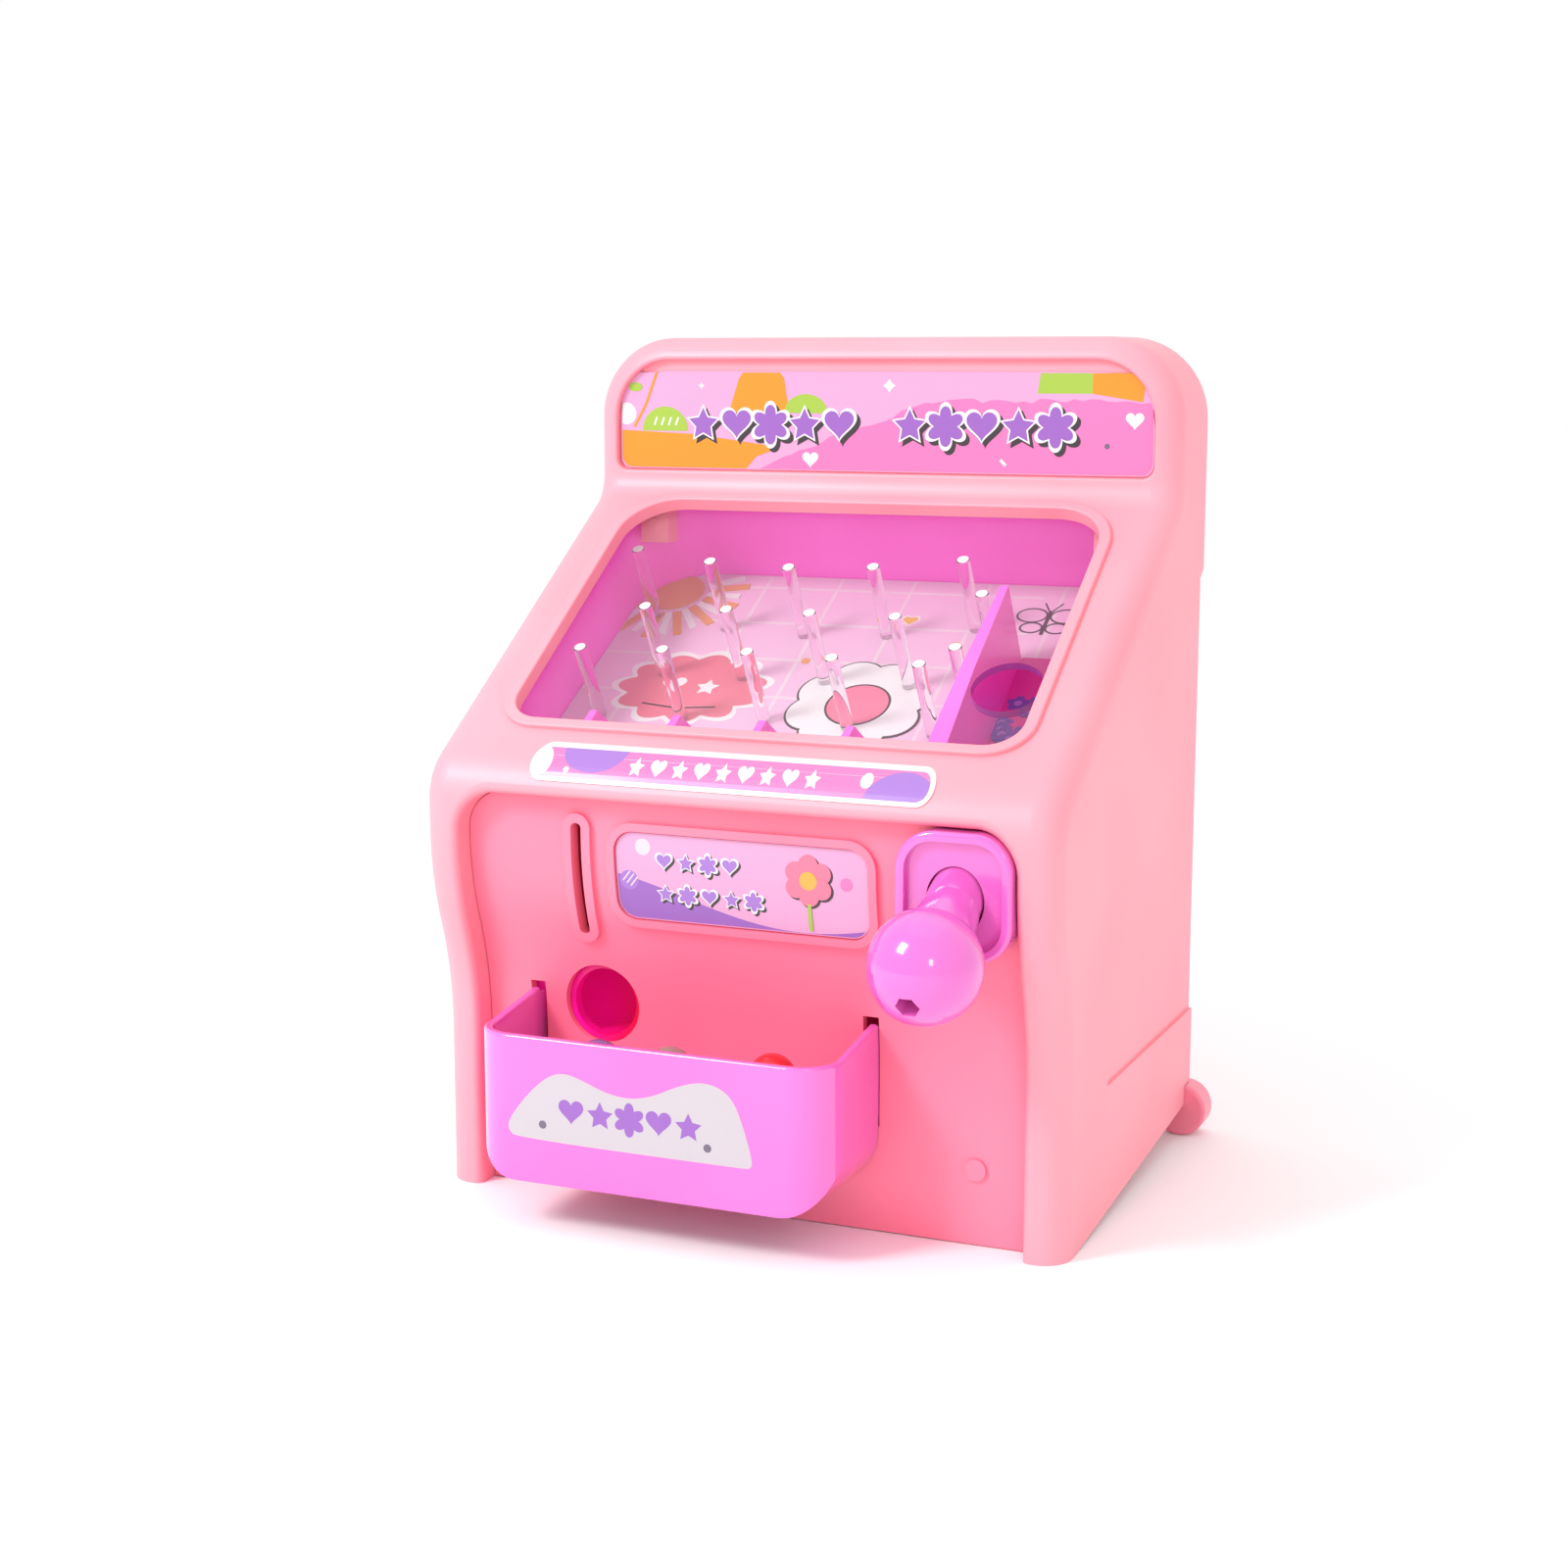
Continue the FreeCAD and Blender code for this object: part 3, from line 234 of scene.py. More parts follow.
def chute_painted_light():
    """Wall with painted light: emission paints the light that comes through it from above, and its tone
    runs from magenta at its left to red at its right, the red being painted shade.
    """
    material = new_material("chute_abs_painted_shade_and_light")
    tree = material.node_tree
    place = add_node(tree, "TexCoord").outputs["Object"]
    across = add_node(tree, "SeparateXYZ", {"Vector": place}).outputs["X"]
    share = add_node(tree, "MapRange", {"Value": across, "From Min": (OUTLET_X - FADE) * MM,
                                        "From Max": (OUTLET_X + FADE) * MM})
    tone = add_node(tree, "ValToRGB", {"Fac": share.outputs["Result"]})
    tone.color_ramp.elements[0].color = linear("#F4109E")
    tone.color_ramp.elements[1].color = linear("#E80838")
    flow = add_node(tree, "TexNoise", {"Vector": place, "Scale": 1 / (6.0 * MM), "Detail": 1.0})
    rough = add_node(tree, "MapRange", {"Value": flow.outputs["Fac"], "To Min": 0.25, "To Max": 0.35})
    return finish_material(material, Base_Color=tone.outputs["Color"], Roughness=rough.outputs["Result"],
                           Emission_Color=tone.outputs["Color"], Emission_Strength=0.12)


# Painted shade: the chute turns red to the right of OUTLET_X, blended over FADE each way.
OUTLET_X = -39.4
FADE = 8.0
paint(chute_painted_light(), "ball_chute")
# Painted shade: the coin chute, seen only deep in the coin slot, is given a dark red-pink that stands for
# the shade inside the slot.
slot_painted_shade = moulded_abs("slot_painted_shade_abs", "#B8325A", "#A82850", roughness=0.4, coat=0.0)
paint(slot_painted_shade, "coin_chute")


# ---- Pegs and window -----------------------------------------------------------------------------
# The pegs are clear acrylic rod with sawn, frosted tops. The window is moulded clear polystyrene:
# thin and polished, so that it is seen by its reflections and by its cut edges.
def clear_rod():
    """Clear along the rod and frosted white on its sawn end, which faces away from the floor."""
    material = new_material("clear_acrylic_rod")
    tree = material.node_tree
    place = add_node(tree, "TexCoord").outputs["Object"]
    facing = add_node(tree, "VectorMath", {0: add_node(tree, "NewGeometry").outputs["Normal"],
                                           1: out_of_floor}, operation="DOT_PRODUCT")
    sawn = add_node(tree, "MapRange", {"Value": facing.outputs["Value"], "From Min": 0.8, "From Max": 0.97})
    rough = add_node(tree, "MapRange", {"Value": sawn.outputs["Result"], "To Min": 0.04, "To Max": 0.5})
    clear = add_node(tree, "MapRange", {"Value": sawn.outputs["Result"], "To Min": 1.0, "To Max": 0.15})
    wave = add_node(tree, "TexNoise", {"Vector": place, "Scale": 1 / (3.0 * MM)})
    skin = add_node(tree, "Bump", {"Height": wave.outputs["Fac"], "Strength": 0.04, "Distance": 0.1 * MM})
    return finish_material(material, Base_Color=linear("#FFF6FD"), Roughness=rough.outputs["Result"],
                           IOR=1.49, Transmission_Weight=clear.outputs["Result"],
                           Normal=skin.outputs["Normal"])


paint(clear_rod(), "pegs")



def clear_sheet():
    """Nearly invisible on its faces, which carry a faint white haze that thickens towards a grazing view: a
    painted reflection. Its cut edges, as round the hole, are painted an opaque violet that stands for the
    light they gather.
    """
    material = new_material("clear_polystyrene")
    tree = material.node_tree
    facing = add_node(tree, "LayerWeight", {"Blend": 0.3})
    painted_reflection_film = add_node(tree, "MapRange", {"Value": facing.outputs["Facing"], "To Min": 0.015, "To Max": 0.08})
    along_face = add_node(tree, "VectorMath", {0: add_node(tree, "NewGeometry").outputs["Normal"],
                                               1: (0, -math.sin(SLOPE), math.cos(SLOPE))},
                          operation="DOT_PRODUCT")
    flat = add_node(tree, "Math", {0: along_face.outputs["Value"]}, operation="ABSOLUTE")
    edge = add_node(tree, "MapRange", {"Value": flat.outputs["Value"], "From Min": 0.3, "From Max": 0.7,
                                       "To Min": 1.0, "To Max": 0.0})
    tone = add_node(tree, "ValToRGB", {"Fac": edge.outputs["Result"]})
    tone.color_ramp.elements[0].color = linear("#FFF0FA")
    tone.color_ramp.elements[1].color = linear("#8C3F98")
    cover = add_node(tree, "Math", {0: edge.outputs["Result"], 1: PAINTED_EDGE_COVER}, operation="MULTIPLY")
    alpha = add_node(tree, "Math", {0: painted_reflection_film.outputs["Result"], 1: cover.outputs["Value"]},
                     operation="MAXIMUM")
    return finish_material(material, Base_Color=tone.outputs["Color"], Roughness=0.04, IOR=1.59,
                           Alpha=alpha.outputs["Value"])


SLOPE = math.radians(33.8)                  # of the window
# Painted reflection: how opaque the painted violet on the cut edges is.
PAINTED_EDGE_COVER = 0.75
paint(clear_sheet(), "window_lens")


# ---- Sign ----------------------------------------------------------------------------------------
# A coated card printed in flat inks lies in the recess under the roof: hills, a brushed pink field
# and a row of stars and hearts. Each ink is laid over the last, so each shape is a thin layer.
LAYER = 0.02 * MM
INK_STRENGTH = 0.74                         # white ink on card returns about three quarters of the light


def ink(name, colour):
    """Printing ink under a clear coat; the dot screen is drawn at 0.5 mm so that it just shows."""
    material = new_material("ink_" + name)
    tree = material.node_tree
    place = add_node(tree, "TexCoord").outputs["Object"]
    dots = add_node(tree, "TexNoise", {"Vector": place, "Scale": 1 / (0.5 * MM), "Detail": 1.0})
    tone = add_node(tree, "ValToRGB", {"Fac": dots.outputs["Fac"]})
    strong = linear(colour)[:3]
    tone.color_ramp.elements[0].color = tuple(c * INK_STRENGTH * 0.94 for c in strong) + (1.0,)
    tone.color_ramp.elements[1].color = tuple(c * INK_STRENGTH for c in strong) + (1.0,)
    return finish_material(material, Base_Color=tone.outputs["Color"], Roughness=0.3, IOR=1.5,
                           Coat_Weight=0.3, Coat_Roughness=0.08)


inks = {name: ink(name, colour) for name, colour in (
    ("white", "#FFFFFF"), ("black", "#3C3038"), ("purple", "#A86BD0"), ("violet", "#7A4FC8"),
    ("orange", "#FBA21C"), ("green", "#B2D84A"), ("hot_pink", "#FA86CB"), ("pale_pink", "#F9B4E2"),
    ("card_pink", "#FFCFF0"),
    ("salmon", "#F8839A"), ("rose", "#FF86A6"), ("cream", "#FDE7F3"), ("sun", "#F9AE72"),
    ("yellow", "#F6C24E"), ("lilac", "#B582E0"), ("magenta", "#F22FB0"), ("grey", "#7D6E86"),
    ("sticker", "#DDD4DC"))}


def ring_points(x, y, radius, count=36, squash=1.0):
    turns = [2 * math.pi * k / count for k in range(count)]
    return [(x + radius * math.cos(t), y + squash * radius * math.sin(t)) for t in turns]


def star(x, y, radius, tips=5, waist=0.5):
    points = []
    for k in range(2 * tips):
        reach = radius if k % 2 == 0 else radius * waist
        turn = math.pi / 2 + math.pi * k / tips
        points.append((x + reach * math.cos(turn), y + reach * math.sin(turn)))
    return points


def heart(x, y, size):
    points = []
    for k in range(40):
        t = 2 * math.pi * k / 40
        wide = 16 * math.sin(t) ** 3
        high = 13 * math.cos(t) - 5 * math.cos(2 * t) - 2 * math.cos(3 * t) - math.cos(4 * t)
        points.append((x + size * wide / 17, y + size * (high + 2.5) / 17))
    return points


def scallop(x, y, radius, lobes, depth=0.16, squash=1.0, count=120):
    """Round shape whose rim swells into lobes: a cloud or a flower."""
    points = []
    for k in range(count):
        turn = 2 * math.pi * k / count
        reach = radius * (1 - depth + depth * abs(math.sin(lobes * turn / 2.0)) * 1.6)
        points.append((x + reach * math.cos(turn), y + squash * reach * math.sin(turn)))
    return points


def oblong(x0, x1, y0, y1, radius, count=8):
    points = []
    corners = ((x1 - radius, y1 - radius, 0), (x0 + radius, y1 - radius, 1),
               (x0 + radius, y0 + radius, 2), (x1 - radius, y0 + radius, 3))
    for cx, cy, quarter in corners:
        for k in range(count + 1):
            turn = math.pi / 2 * (quarter + k / count)
            points.append((cx + radius * math.cos(turn), cy + radius * math.sin(turn)))
    return points


def stroke(points, width):
    """Ribbon of even width along a few points."""
    left, right = [], []
    for k, point in enumerate(points):
        before = points[max(k - 1, 0)]
        after = points[min(k + 1, len(points) - 1)]
        dx, dy = after[0] - before[0], after[1] - before[1]
        reach = width / 2 / math.hypot(dx, dy)
        left.append((point[0] - dy * reach, point[1] + dx * reach))
        right.append((point[0] + dy * reach, point[1] - dx * reach))
    return left + right[::-1]


def arc_points(x, y, radius, start, end, count=16, squash=1.0):
    turns = [math.radians(start + (end - start) * k / count) for k in range(count + 1)]
    return [(x + radius * math.cos(t), y + squash * radius * math.sin(t)) for t in turns]


def trimmed(points, outline):
    """The part of a shape that lies on the card, whose outline is convex and anticlockwise."""
    kept = points
    for a, b in zip(outline, outline[1:] + outline[:1]):
        turned = [(b[0] - a[0]) * (p[1] - a[1]) - (b[1] - a[1]) * (p[0] - a[0]) for p in kept]
        result = []
        for k, point in enumerate(kept):
            last, here, there = kept[k - 1], turned[k], turned[k - 1]
            if (here >= 0) != (there >= 0):
                share = there / (there - here)
                result.append((last[0] + share * (point[0] - last[0]),
                               last[1] + share * (point[1] - last[1])))
            if here >= 0:
                result.append(point)
        kept = result
        if not kept:
            return []
    return kept


SAME_POINT = 0.01


def tidy_outline(points):
    """The outline without points that lie on one another."""
    kept = []
    for point in points:
        if not kept or math.dist(point, kept[-1]) > SAME_POINT:
            kept.append(point)
    return kept[:-1] if len(kept) > 1 and math.dist(kept[0], kept[-1]) < SAME_POINT else kept


def reach_of(points):
    """Least and greatest x, then least and greatest y."""
    xs, ys = zip(*points)
    return min(xs), max(xs), min(ys), max(ys)


def printed(name, shapes, outline, place, slice_mm=None):
    """One piece with every printed layer; place(x, y, lift) puts a point of the artwork on the card.

    A shape lies one layer above the highest of those under it, so the print stays thin."""
    mesh = bmesh.new()
    used = []
    laid = []
    for points, colour in shapes:
        points = tidy_outline(trimmed(points, outline))
        if len(points) < 3:
            continue
        x0, x1, y0, y1 = reach_of(points)
        level = 1 + max((over for a0, a1, b0, b1, over in laid
                         if a0 < x1 and x0 < a1 and b0 < y1 and y0 < b1), default=0)
        laid.append((x0, x1, y0, y1, level))
        if colour not in used:
            used.append(colour)
        layer = bmesh.new()
        layer.faces.new([layer.verts.new((x, y, 0)) for x, y in points])
        layer.normal_update()
        bmesh.ops.triangulate(layer, faces=layer.faces[:])
        if slice_mm:
            low = min(p[1] for p in points)
            high = max(p[1] for p in points)
            for k in range(1, int((high - low) / slice_mm) + 1):
                bmesh.ops.bisect_plane(layer, geom=layer.verts[:] + layer.edges[:] + layer.faces[:],
                                       plane_co=(0, low + k * slice_mm, 0), plane_no=(0, 1, 0))
            bmesh.ops.triangulate(layer, faces=layer.faces[:])
        for face in layer.faces:
            if face.normal.z < 0:
                face.normal_flip()
        lifted = bmesh.ops.extrude_face_region(layer, geom=layer.faces[:])["geom"]
        top = {v for v in lifted if isinstance(v, bmesh.types.BMVert)}
        for vertex in layer.verts:
            lift = level * LAYER if vertex in top else 0.0
            vertex.co = place(vertex.co.x, vertex.co.y, lift)
        bmesh.ops.recalc_face_normals(layer, faces=layer.faces[:])
        for face in layer.faces:
            face.material_index = used.index(colour)
        part = bpy.data.meshes.new("layer")
        layer.to_mesh(part)
        layer.free()
        mesh.from_mesh(part)
        bpy.data.meshes.remove(part)
    result = bpy.data.meshes.new(name)
    mesh.to_mesh(result)
    mesh.free()
    for colour in used:
        result.materials.append(inks[colour])
    piece = bpy.data.objects.new(name, result)
    bpy.context.scene.collection.objects.link(piece)
    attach(piece, "case")
    return piece


def outlined(points_of, x, y, size, colour, border=0.9, shadow=None):
    """A motif with a white border and, where asked, a dark shadow down and to the right."""
    shapes = []
    if shadow:
        shapes.append((points_of(x + shadow, y - shadow, size + border), "black"))
    shapes.append((points_of(x, y, size + border), "white"))
    shapes.append((points_of(x, y, size), colour))
    return shapes


def in_stages(motifs):
    """Every shadow, then every border, then every face, so that no shadow covers a neighbour."""
    return [shape for stage in zip(*motifs) for shape in stage]


def daisy(x, y, radius):
    return scallop(x, y, radius, 6, 0.3)


sign_low, sign_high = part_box("sign_card")
SIGN_HALF = sign_high.x / MM
SIGN_TALL = (sign_high.z - sign_low.z) / MM


def on_sign(x, y, lift):
    return Vector((x * MM, sign_low.y - lift, sign_low.z + y * MM))


random.seed(4)
brush_edge = [(-26.0 + 2.2 * k, min(4.0 + 0.75 * k, 18.5) + random.uniform(-0.7, 0.7)) for k in range(46)]
sign_art = [
    (oblong(-90, 90, -5, 40, 1), "pale_pink"),
    (brush_edge + [(80, -5), (-44, -5)], "hot_pink"),
    ([(-80, -5), (-42, -5), (-34, 3.5), (-27, 6.0), (-52, 9.2), (-80, 10.4)], "orange"),
    ([(-42, 15), (-39, 24), (-37, 26.5), (-28, 26.5), (-26, 24), (-24.5, 15)], "orange"),
    (arc_points(-19.8, 15, 6.2, 0, 180, squash=0.8), "green"),
    (arc_points(-60.8, 10, 6.8, 0, 180, squash=0.95), "green"),
    ([(43.6, 20.4), (44.6, 27), (58, 27), (58, 20.4)], "green"),
    ([(58, 20.4), (58, 27), (72, 27), (71, 18.4)], "orange"),
    (ring_points(-72.4, 14.5, 2.9), "white"),
    (stroke([(-70, 11), (-66.5, 17), (-63, 26)], 0.7), "orange"),
    (ring_points(-69.6, 21.6, 2.0, squash=0.6), "green"),
    (star(3.6, 22.2, 1.7, 4, 0.6), "white"),
    (heart(69.0, 13.6, 2.5), "white"),
    (heart(-18.5, 2.8, 2.4), "white"),
    (star(-50, 22.0, 0.9, 4), "white"),
    (ring_points(62, 7.4, 0.7), "grey"),
    (stroke([(34, 3.6), (35.4, 2.2)], 0.8), "white"),
]
for count in range(4):
    sign_art.append((stroke([(-64 + 2.1 * count, 11.5), (-63.2 + 2.1 * count, 13.6)], 0.5), "white"))
sign_icons = (star, heart, daisy, star, heart, None, star, daisy, heart, star, daisy)
sign_art += in_stages(outlined(icon, -49.5 + 9.8 * place_in_row, 11.9, 4.4, "purple", 0.9, 1.0)
                      for place_in_row, icon in enumerate(sign_icons) if icon)
sign_outline = oblong(-SIGN_HALF + 0.4, SIGN_HALF - 0.4, 0.3, SIGN_TALL - 0.3, 3.0)
paint(inks["pale_pink"], "sign_card")
printed("sign_print", sign_art, sign_outline, on_sign)


# ---- Strip on the nose ---------------------------------------------------------------------------
# A vinyl sticker is wrapped over the nose under the window: pink with purple patches, white dots
# and a white edge. The artwork is pressed on, so its points are carried to the curved skin.
def skin_of(name):
    """Gives a place function that lays a point on the front skin of a node."""
    mesh = nodes[name].data
    tree = BVHTree.FromPolygons([v.co for v in mesh.vertices], [p.vertices for p in mesh.polygons])

    def place(x, y, lift):
        start = Vector((x * MM, -1.0, y * MM))
        spot, normal, _, _ = tree.ray_cast(start, Vector((0, 1, 0)))
        if spot is None:
            spot, normal, _, _ = tree.find_nearest(Vector((x * MM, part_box(name)[0].y, y * MM)))
        return Vector((spot.x, spot.y, spot.z)) + normal * lift
    return place


strip_low, strip_high = (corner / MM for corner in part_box("strip_decal"))
strip_outline = oblong(strip_low.x + 0.6, strip_high.x - 0.6, strip_low.z + 0.5, strip_high.z - 0.5, 3.2)
strip_mid = (strip_low.z + strip_high.z) / 2
strip_inner = oblong(strip_low.x + 1.2, strip_high.x - 1.2, strip_low.z + 1.0, strip_high.z - 1.0, 2.8)
strip_art = [
    (strip_outline, "white"),
    (strip_inner, "hot_pink"),
    (trimmed(ring_points(-36, strip_mid + 3.4, 8.5, squash=0.6), strip_inner), "lilac"),
    (trimmed(ring_points(43, strip_mid - 3.6, 9.0, squash=0.7), strip_inner), "lilac"),
    (trimmed(ring_points(-49.5, strip_mid, 3.0), strip_inner), "white"),
    (ring_points(34, strip_mid + 0.6, 1.5), "white"),
    (ring_points(-42, strip_mid - 1.4, 0.7), "white"),
]
for place_in_row in range(9):
    strip_art.append(((star, heart)[place_in_row % 2](-24 + 5.6 * place_in_row, strip_mid, 2.1), "white"))
paint(inks["white"], "strip_decal")
printed("strip_print", strip_art, strip_outline, skin_of("strip_decal"), 1.0)


# ---- Label ---------------------------------------------------------------------------------------
# A printed vinyl label lies in the raised frame on the panel: pink above, a purple wave below,
# two rows of small motifs and a flower.
label_low, label_high = (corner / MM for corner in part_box("label_card"))
label_outline = oblong(label_low.x + 0.3, label_high.x - 0.3, label_low.z + 0.3, label_high.z - 0.3, 4.4)
label_x = (label_low.x + label_high.x) / 2
label_z = (label_low.z + label_high.z) / 2
wave = [(label_x - 40 + 2 * k, label_z - 3.0 + 4.4 * math.cos(0.105 * k * 1.15) - 0.11 * k)
        for k in range(42)]
label_art = [
    (oblong(-80, 80, label_z - 30, label_z + 30, 1), "pale_pink"),
    (wave + [(label_x + 50, label_z - 20), (label_x - 50, label_z - 20)], "purple"),
    (ring_points(label_x - 25, label_z + 7.4, 2.0), "cream"),
    (ring_points(label_x + 27, label_z + 2.4, 1.6), "hot_pink"),
    (ring_points(label_x - 29, label_z - 1.0, 2.4), "lilac"),
]
for count in range(3):
    label_art.append((stroke([(label_x - 30.6 + count, label_z - 1.2 - 0.6 * count),
                              (label_x - 28.6 + count, label_z + 1.2 - 0.6 * count)], 0.35), "cream"))
for row in range(2):
    for place_in_row in range(4 + row):
        icon = (heart, star, daisy)[(place_in_row + row) % 3]
        label_art += outlined(icon, label_x - 19.5 + 5.7 * place_in_row, label_z + 4.2 - 8.0 * row, 2.0,
                              "lilac", 0.55, 0.5)
flower = []
for turn in range(6):
    spin = math.radians(60 * turn + 30)
    petal = (label_x + 17.5 + 3.7 * math.cos(spin), label_z + 2.6 + 3.7 * math.sin(spin))
    flower.append([(ring_points(petal[0] + 0.4, petal[1] - 0.4, 2.6, 24), "black"),
                   (ring_points(petal[0], petal[1], 2.5, 24), "rose")])
label_art += in_stages(flower)
label_art.append((ring_points(label_x + 17.5, label_z + 2.6, 2.2, 24), "yellow"))
label_art.append((stroke([(label_x + 17.5, label_z - 3.0), (label_x + 17.5, label_z - 9.6)], 0.9), "green"))
paint(inks["pale_pink"], "label_card")
printed("label_print", label_art, label_outline, skin_of("label_card"), 2.0)


# ---- Card on the play floor ----------------------------------------------------------------------
# The play floor is covered by a coated card with a pale grid, a sun, a cloud, a daisy and a butterfly.
# The lane at the right is printed hot pink with small violet flowers.
card_low, card_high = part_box("playfield_card")
CARD_START = 46.5                           # where the card begins, measured up the floor
CARD_END = 121.2
CARD_THICK = 0.5
CARD_HALF = card_high.x / MM
card_edge = Vector((0, card_low.y, card_low.z + CARD_THICK * MM * math.cos(TILT)))


def on_card(x, y, lift):
    return card_edge + Vector((x * MM, 0, 0)) + along * ((y - CARD_START) * MM) + out_of_floor * lift


def petals(x, y, radius, count, petal, colour, core):
    shapes = []
    for k in range(count):
        spin = 2 * math.pi * k / count + 0.3
        spot = (x + radius * math.cos(spin), y + radius * math.sin(spin))
        shapes.append((ring_points(spot[0], spot[1], petal, 20), colour))
    shapes.append((ring_points(x, y, radius * 0.55, 20), core))
    return shapes


card_art = [(oblong(-90, 90, 40, 130, 1), "card_pink")]
for k in range(7):
    card_art.append((stroke([(-58 + 21 * k, 40), (-58 + 21 * k, 125)], 1.0), "cream"))
for k in range(5):
    card_art.append((stroke([(-80, 52 + 16 * k), (42, 52 + 16 * k)], 1.0), "cream"))
SUN = (-62.5, 112.0)
for k in range(15):
    spin = math.radians(-158 + 13 * k)
    near, far = 9.6, 19.5 + 1.5 * (k % 2)
    ray = [(SUN[0] + near * math.cos(spin), SUN[1] + near * math.sin(spin)),
           (SUN[0] + far * math.cos(spin), SUN[1] + far * math.sin(spin))]
    card_art.append((stroke(ray, 2.4 if k % 2 else 2.0), "sun" if k % 2 else "white"))
card_art.append((ring_points(SUN[0], SUN[1], 8.0), "sun"))
card_art.append((scallop(-41, 70, 21.5, 11, 0.12, 0.72), "white"))
card_art.append((scallop(-41, 70, 19.6, 11, 0.12, 0.70), "salmon"))
card_art.append((heart(-46.5, 71, 3.6), "white"))
card_art.append((star(-36.5, 70.5, 3.4), "white"))
card_art.append((stroke([(-52, 62.5), (-42, 61.2), (-31, 62.5)], 0.6), "black"))
flower_x, flower_y, petal_reach = 7, 66.5, 11.5
for petal_r, colour in ((7.6, "black"), (7.0, "white")):
    for k in range(8):
        spin = math.radians(45 * k + 20)
        petal = (flower_x + petal_reach * math.cos(spin), flower_y + petal_reach * math.sin(spin))
        card_art.append((ring_points(petal[0], petal[1], petal_r, 30), colour))
card_art.append((ring_points(flower_x, flower_y, 8.6), "black"))
card_art.append((ring_points(flower_x, flower_y, 8.0), "rose"))
card_art += outlined(heart, 8.9, 103.5, 2.2, "yellow", 0.6)
card_art.append((ring_points(-13.6, 84.0, 1.3), "sun"))
card_art.append((ring_points(24.5, 94.0, 1.3), "sun"))
card_art.append((oblong(43.4, 90, 40, 90, 1), "magenta"))
fly_x, fly_y = 45.6, 105.5
for side in (-1, 1):
    for up, radius in ((2.8, 4.0), (-2.6, 2.9)):
        wing = arc_points(fly_x + side * (radius + 0.5), fly_y + up, radius, 0, 360, 24, 0.75)
        card_art.append((stroke(wing, 0.55), "black"))
    feeler = [(fly_x, fly_y + 4), (fly_x + side * 2.4, fly_y + 8.4)]
    card_art.append((stroke(feeler, 0.45), "black"))
card_art.append((stroke([(fly_x, fly_y - 5.5), (fly_x, fly_y + 5)], 1.0), "black"))
random.seed(9)
for k in range(16):
    spot = (53 + random.uniform(-7, 8), 62 + random.uniform(-10, 12))
    card_art += petals(spot[0], spot[1], 1.9, 5, 1.15, "violet", "lilac")
card_outline = oblong(-CARD_HALF + 0.4, CARD_HALF - 0.4, CARD_START + 0.3, CARD_END, 18)
paint(inks["card_pink"], "playfield_card")
printed("card_print", card_art, card_outline, on_card)


# ---- Tray, plate, arm and knob -------------------------------------------------------------------
# The tray and the shooter's plate, arm and knob are orchid ABS from polished moulds,
# so they are glossy and mirror the soft boxes of the studio.
orchid = moulded_abs("polished_orchid_abs", "#E86AC6", "#E260BE", roughness=0.16, coat=1.0,
                     relief=0.015, polish=0.03)
paint(orchid, "tray", "plunger_plate", "shooter_arm", "shooter_knob")


# ---- Tray sticker --------------------------------------------------------------------------------
# An off-white vinyl sticker with a double hump is stuck to the tray's front.
# It carries a row of purple motifs between two dots.
tray_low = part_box("tray")[0]
STICKER = [(-48.5, 26.6), (-43.2, 33.6), (-37.6, 38.6), (-33.3, 39.8), (-28.7, 38.6), (-23.1, 36.4),
           (-16.9, 35.4), (-10.7, 36.6), (-4.3, 39.8), (1.3, 41.6), (6.0, 41.2), (9.7, 38.8), (12.0, 34.2),
           (15.0, 24.4), (14.4, 22.7), (12.8, 22.5), (-46.4, 22.6), (-48.3, 24.2)]


def smoothed(points, rounds=3):
    """Corner cutting, which rounds the outline off."""
    for _ in range(rounds):
        cut = []
        for a, b in zip(points, points[1:] + points[:1]):
            cut.append((0.75 * a[0] + 0.25 * b[0], 0.75 * a[1] + 0.25 * b[1]))
            cut.append((0.25 * a[0] + 0.75 * b[0], 0.25 * a[1] + 0.75 * b[1]))
        points = cut
    return points


def on_tray(x, y, lift):
    return Vector((x * MM, tray_low.y - lift, y * MM))


sticker_art = [(smoothed(STICKER), "sticker"), (ring_points(-39.2, 26.6, 1.0, 24), "grey"),
               (ring_points(3.6, 26.2, 1.0, 24), "grey")]
for place_in_row in range(5):
    icon = (heart, star, daisy)[place_in_row % 3]
    sticker_art.append((icon(-31.6 + 7.6 * place_in_row, 30.4, 3.5), "purple"))
everything = oblong(-100, 100, -100, 200, 1)
sticker = printed("tray_print", sticker_art, everything, on_tray)
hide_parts("tray_decal")


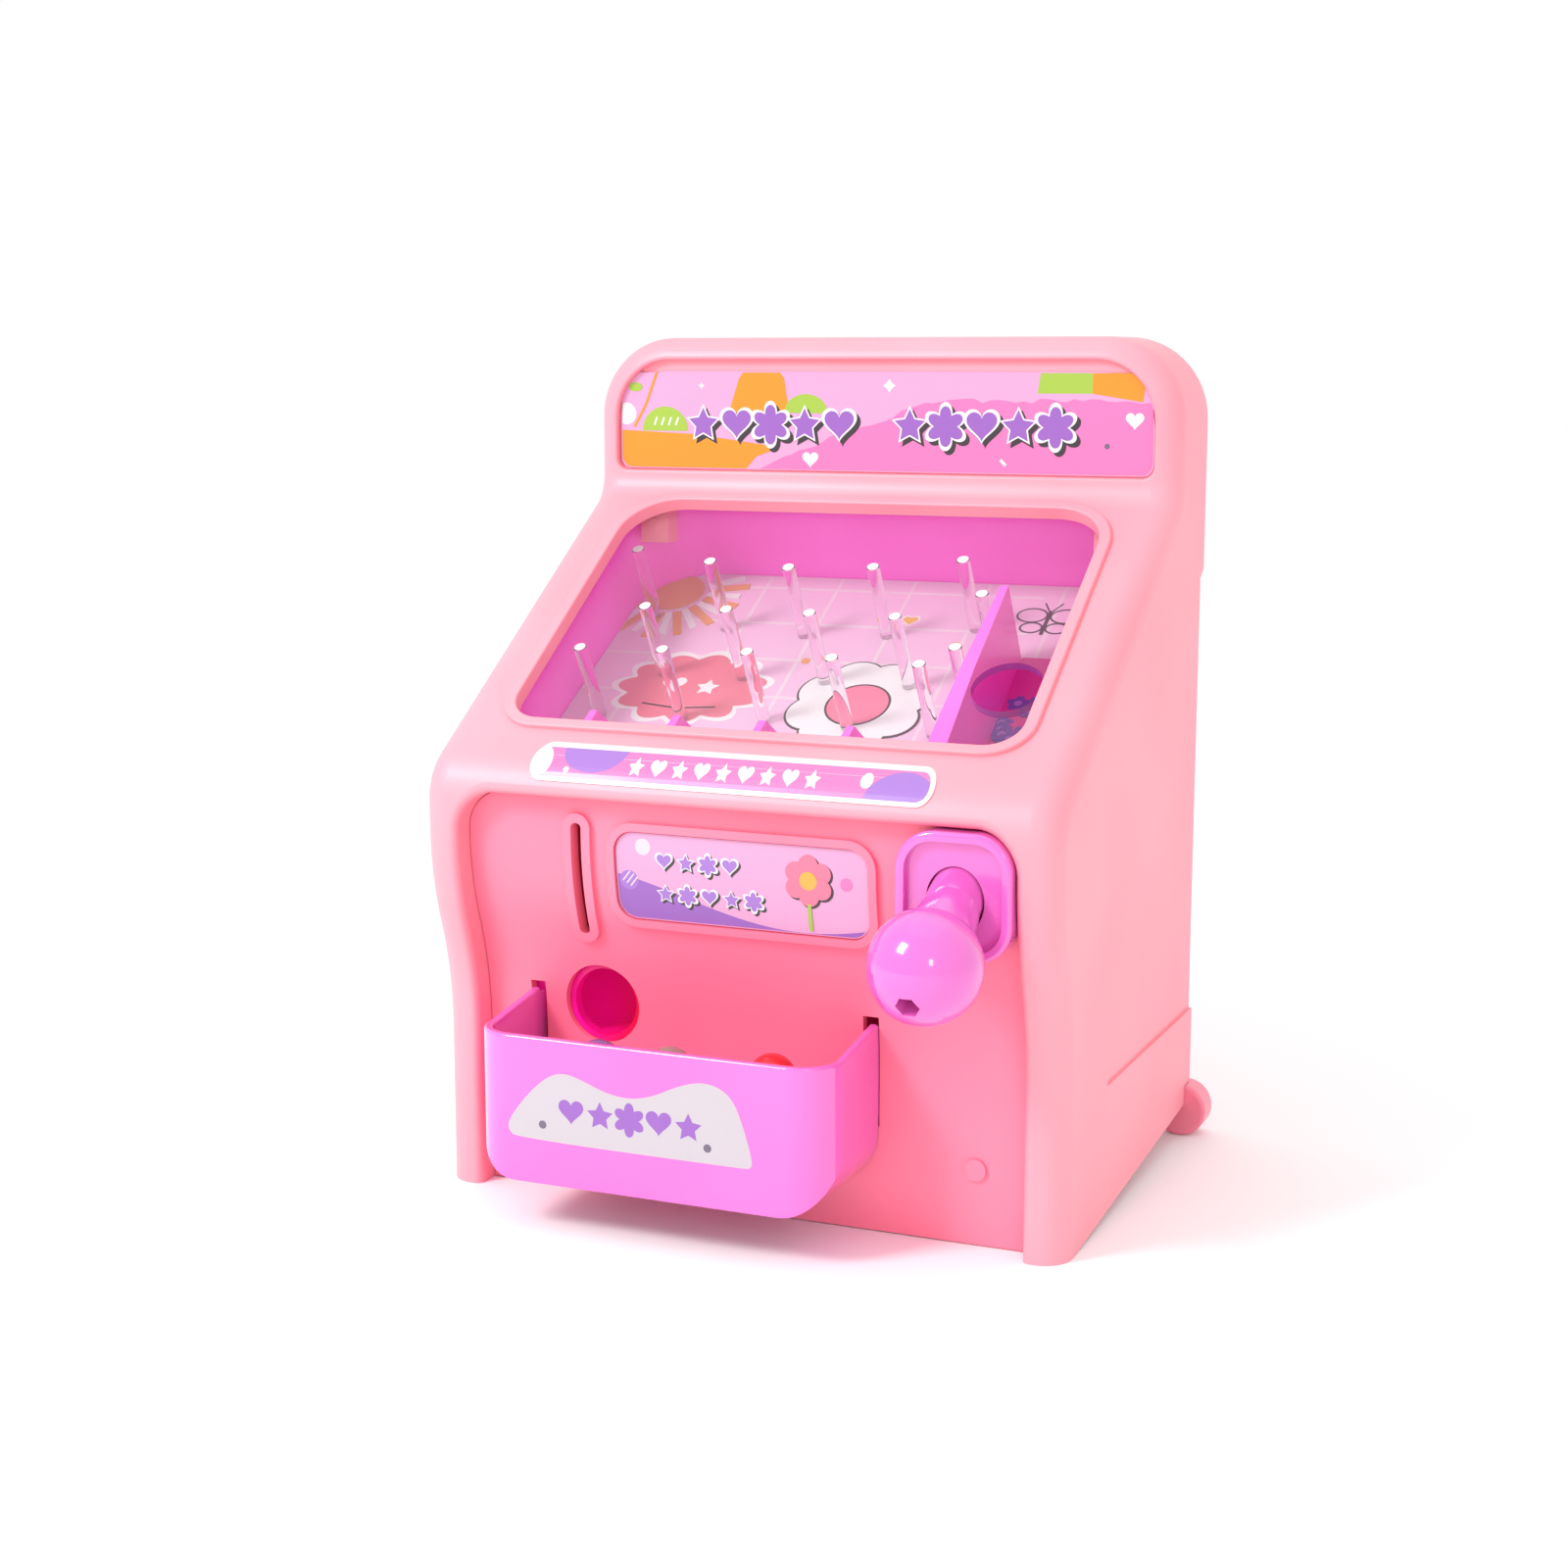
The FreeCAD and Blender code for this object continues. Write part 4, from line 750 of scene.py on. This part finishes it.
# ---- Balls ---------------------------------------------------------------------------------------
# The play balls are small glossy plastic spheres, each in its own colour.
def ball_plastic():
    """One material for all three balls: the tone changes half-way between one ball and the next."""
    material = new_material("ball_plastic")
    tree = material.node_tree
    place = add_node(tree, "TexCoord").outputs["Object"]
    across = add_node(tree, "SeparateXYZ", {"Vector": place}).outputs["X"]
    share = add_node(tree, "MapRange", {"Value": across, "From Min": ROW_START * MM,
                                        "From Max": ROW_END * MM})
    tone = add_node(tree, "ValToRGB", {"Fac": share.outputs["Result"]})
    ramp = tone.color_ramp
    ramp.interpolation = "CONSTANT"
    ramp.elements[0].color = linear("#7C5F9A")
    ramp.elements[1].position = (BORDERS[0] - ROW_START) / (ROW_END - ROW_START)
    ramp.elements[1].color = linear("#9A7F78")
    ramp.elements.new((BORDERS[1] - ROW_START) / (ROW_END - ROW_START)).color = linear("#DD1F2A")
    scuffs = add_node(tree, "TexNoise", {"Vector": place, "Scale": 1 / (2.0 * MM), "Detail": 3.0})
    rough = add_node(tree, "MapRange", {"Value": scuffs.outputs["Fac"], "To Min": 0.14, "To Max": 0.26})
    return finish_material(material, Base_Color=tone.outputs["Color"], Roughness=rough.outputs["Result"],
                           Coat_Weight=0.3, Coat_Roughness=0.05)


ROW_START, ROW_END = -40, 25                # X of the row that the balls lie in
BORDERS = (-20, 1)
paint(ball_plastic(), "balls")


# ---- Studio --------------------------------------------------------------------------------------
# A pale floor in a white room, a bright soft box over the front left, a small one at the front right
# and a wide faint one overhead.
def soft_box(name, place, target, size, power, tint="#FFFFFF"):
    light = bpy.data.lights.new(name, "AREA")
    light.shape = "RECTANGLE"
    light.size, light.size_y = size
    light.energy = power
    light.color = linear(tint)[:3]
    lamp = bpy.data.objects.new(name, light)
    lamp.location = place
    lamp.rotation_euler = (Vector(target) - Vector(place)).to_track_quat("-Z", "Y").to_euler()
    bpy.context.scene.collection.objects.link(lamp)


middle = Vector((0, 0, 0.1))
soft_box("key_box", (-0.55, -0.75, 0.85), middle, (0.30, 0.36), 8.2)
soft_box("side_box", (0.60, -0.95, 0.50), middle, (0.14, 0.22), 0.8)
soft_box("top_box", (0.0, 0.1, 1.2), middle, (1.0, 1.0), 0.8)

floor_mesh = bpy.data.meshes.new("floor")
FLOOR_R, FLOOR_SIDES = 8.0, 64
floor_mesh.from_pydata([(x, y, 0) for x, y in ring_points(0, 0, FLOOR_R, FLOOR_SIDES)], [],
                       [list(range(FLOOR_SIDES))])
floor = bpy.data.objects.new("floor", floor_mesh)
bpy.context.scene.collection.objects.link(floor)
floor_white = new_material("studio_floor")
floor_mesh.materials.append(finish_material(floor_white, Base_Color=linear("#FDFDFD"), Roughness=0.8))

world = bpy.data.worlds.new("white_room")
world.use_nodes = True
room = world.node_tree.nodes["Background"].inputs
room["Color"].default_value = (1.0, 0.995, 0.995, 1.0)
room["Strength"].default_value = 1.025
bpy.context.scene.world = world
bpy.context.scene.view_settings.view_transform = "Standard"

lens = bpy.data.cameras.new("camera")
lens.lens = 57.6
lens.sensor_width = 36.0
camera = bpy.data.objects.new("camera", lens)
camera.location = (0.2385, -0.5636, 0.2040)
camera.rotation_euler = (math.radians(90 - 9.58), 0, math.radians(23.34))
bpy.context.scene.collection.objects.link(camera)
bpy.context.scene.camera = camera
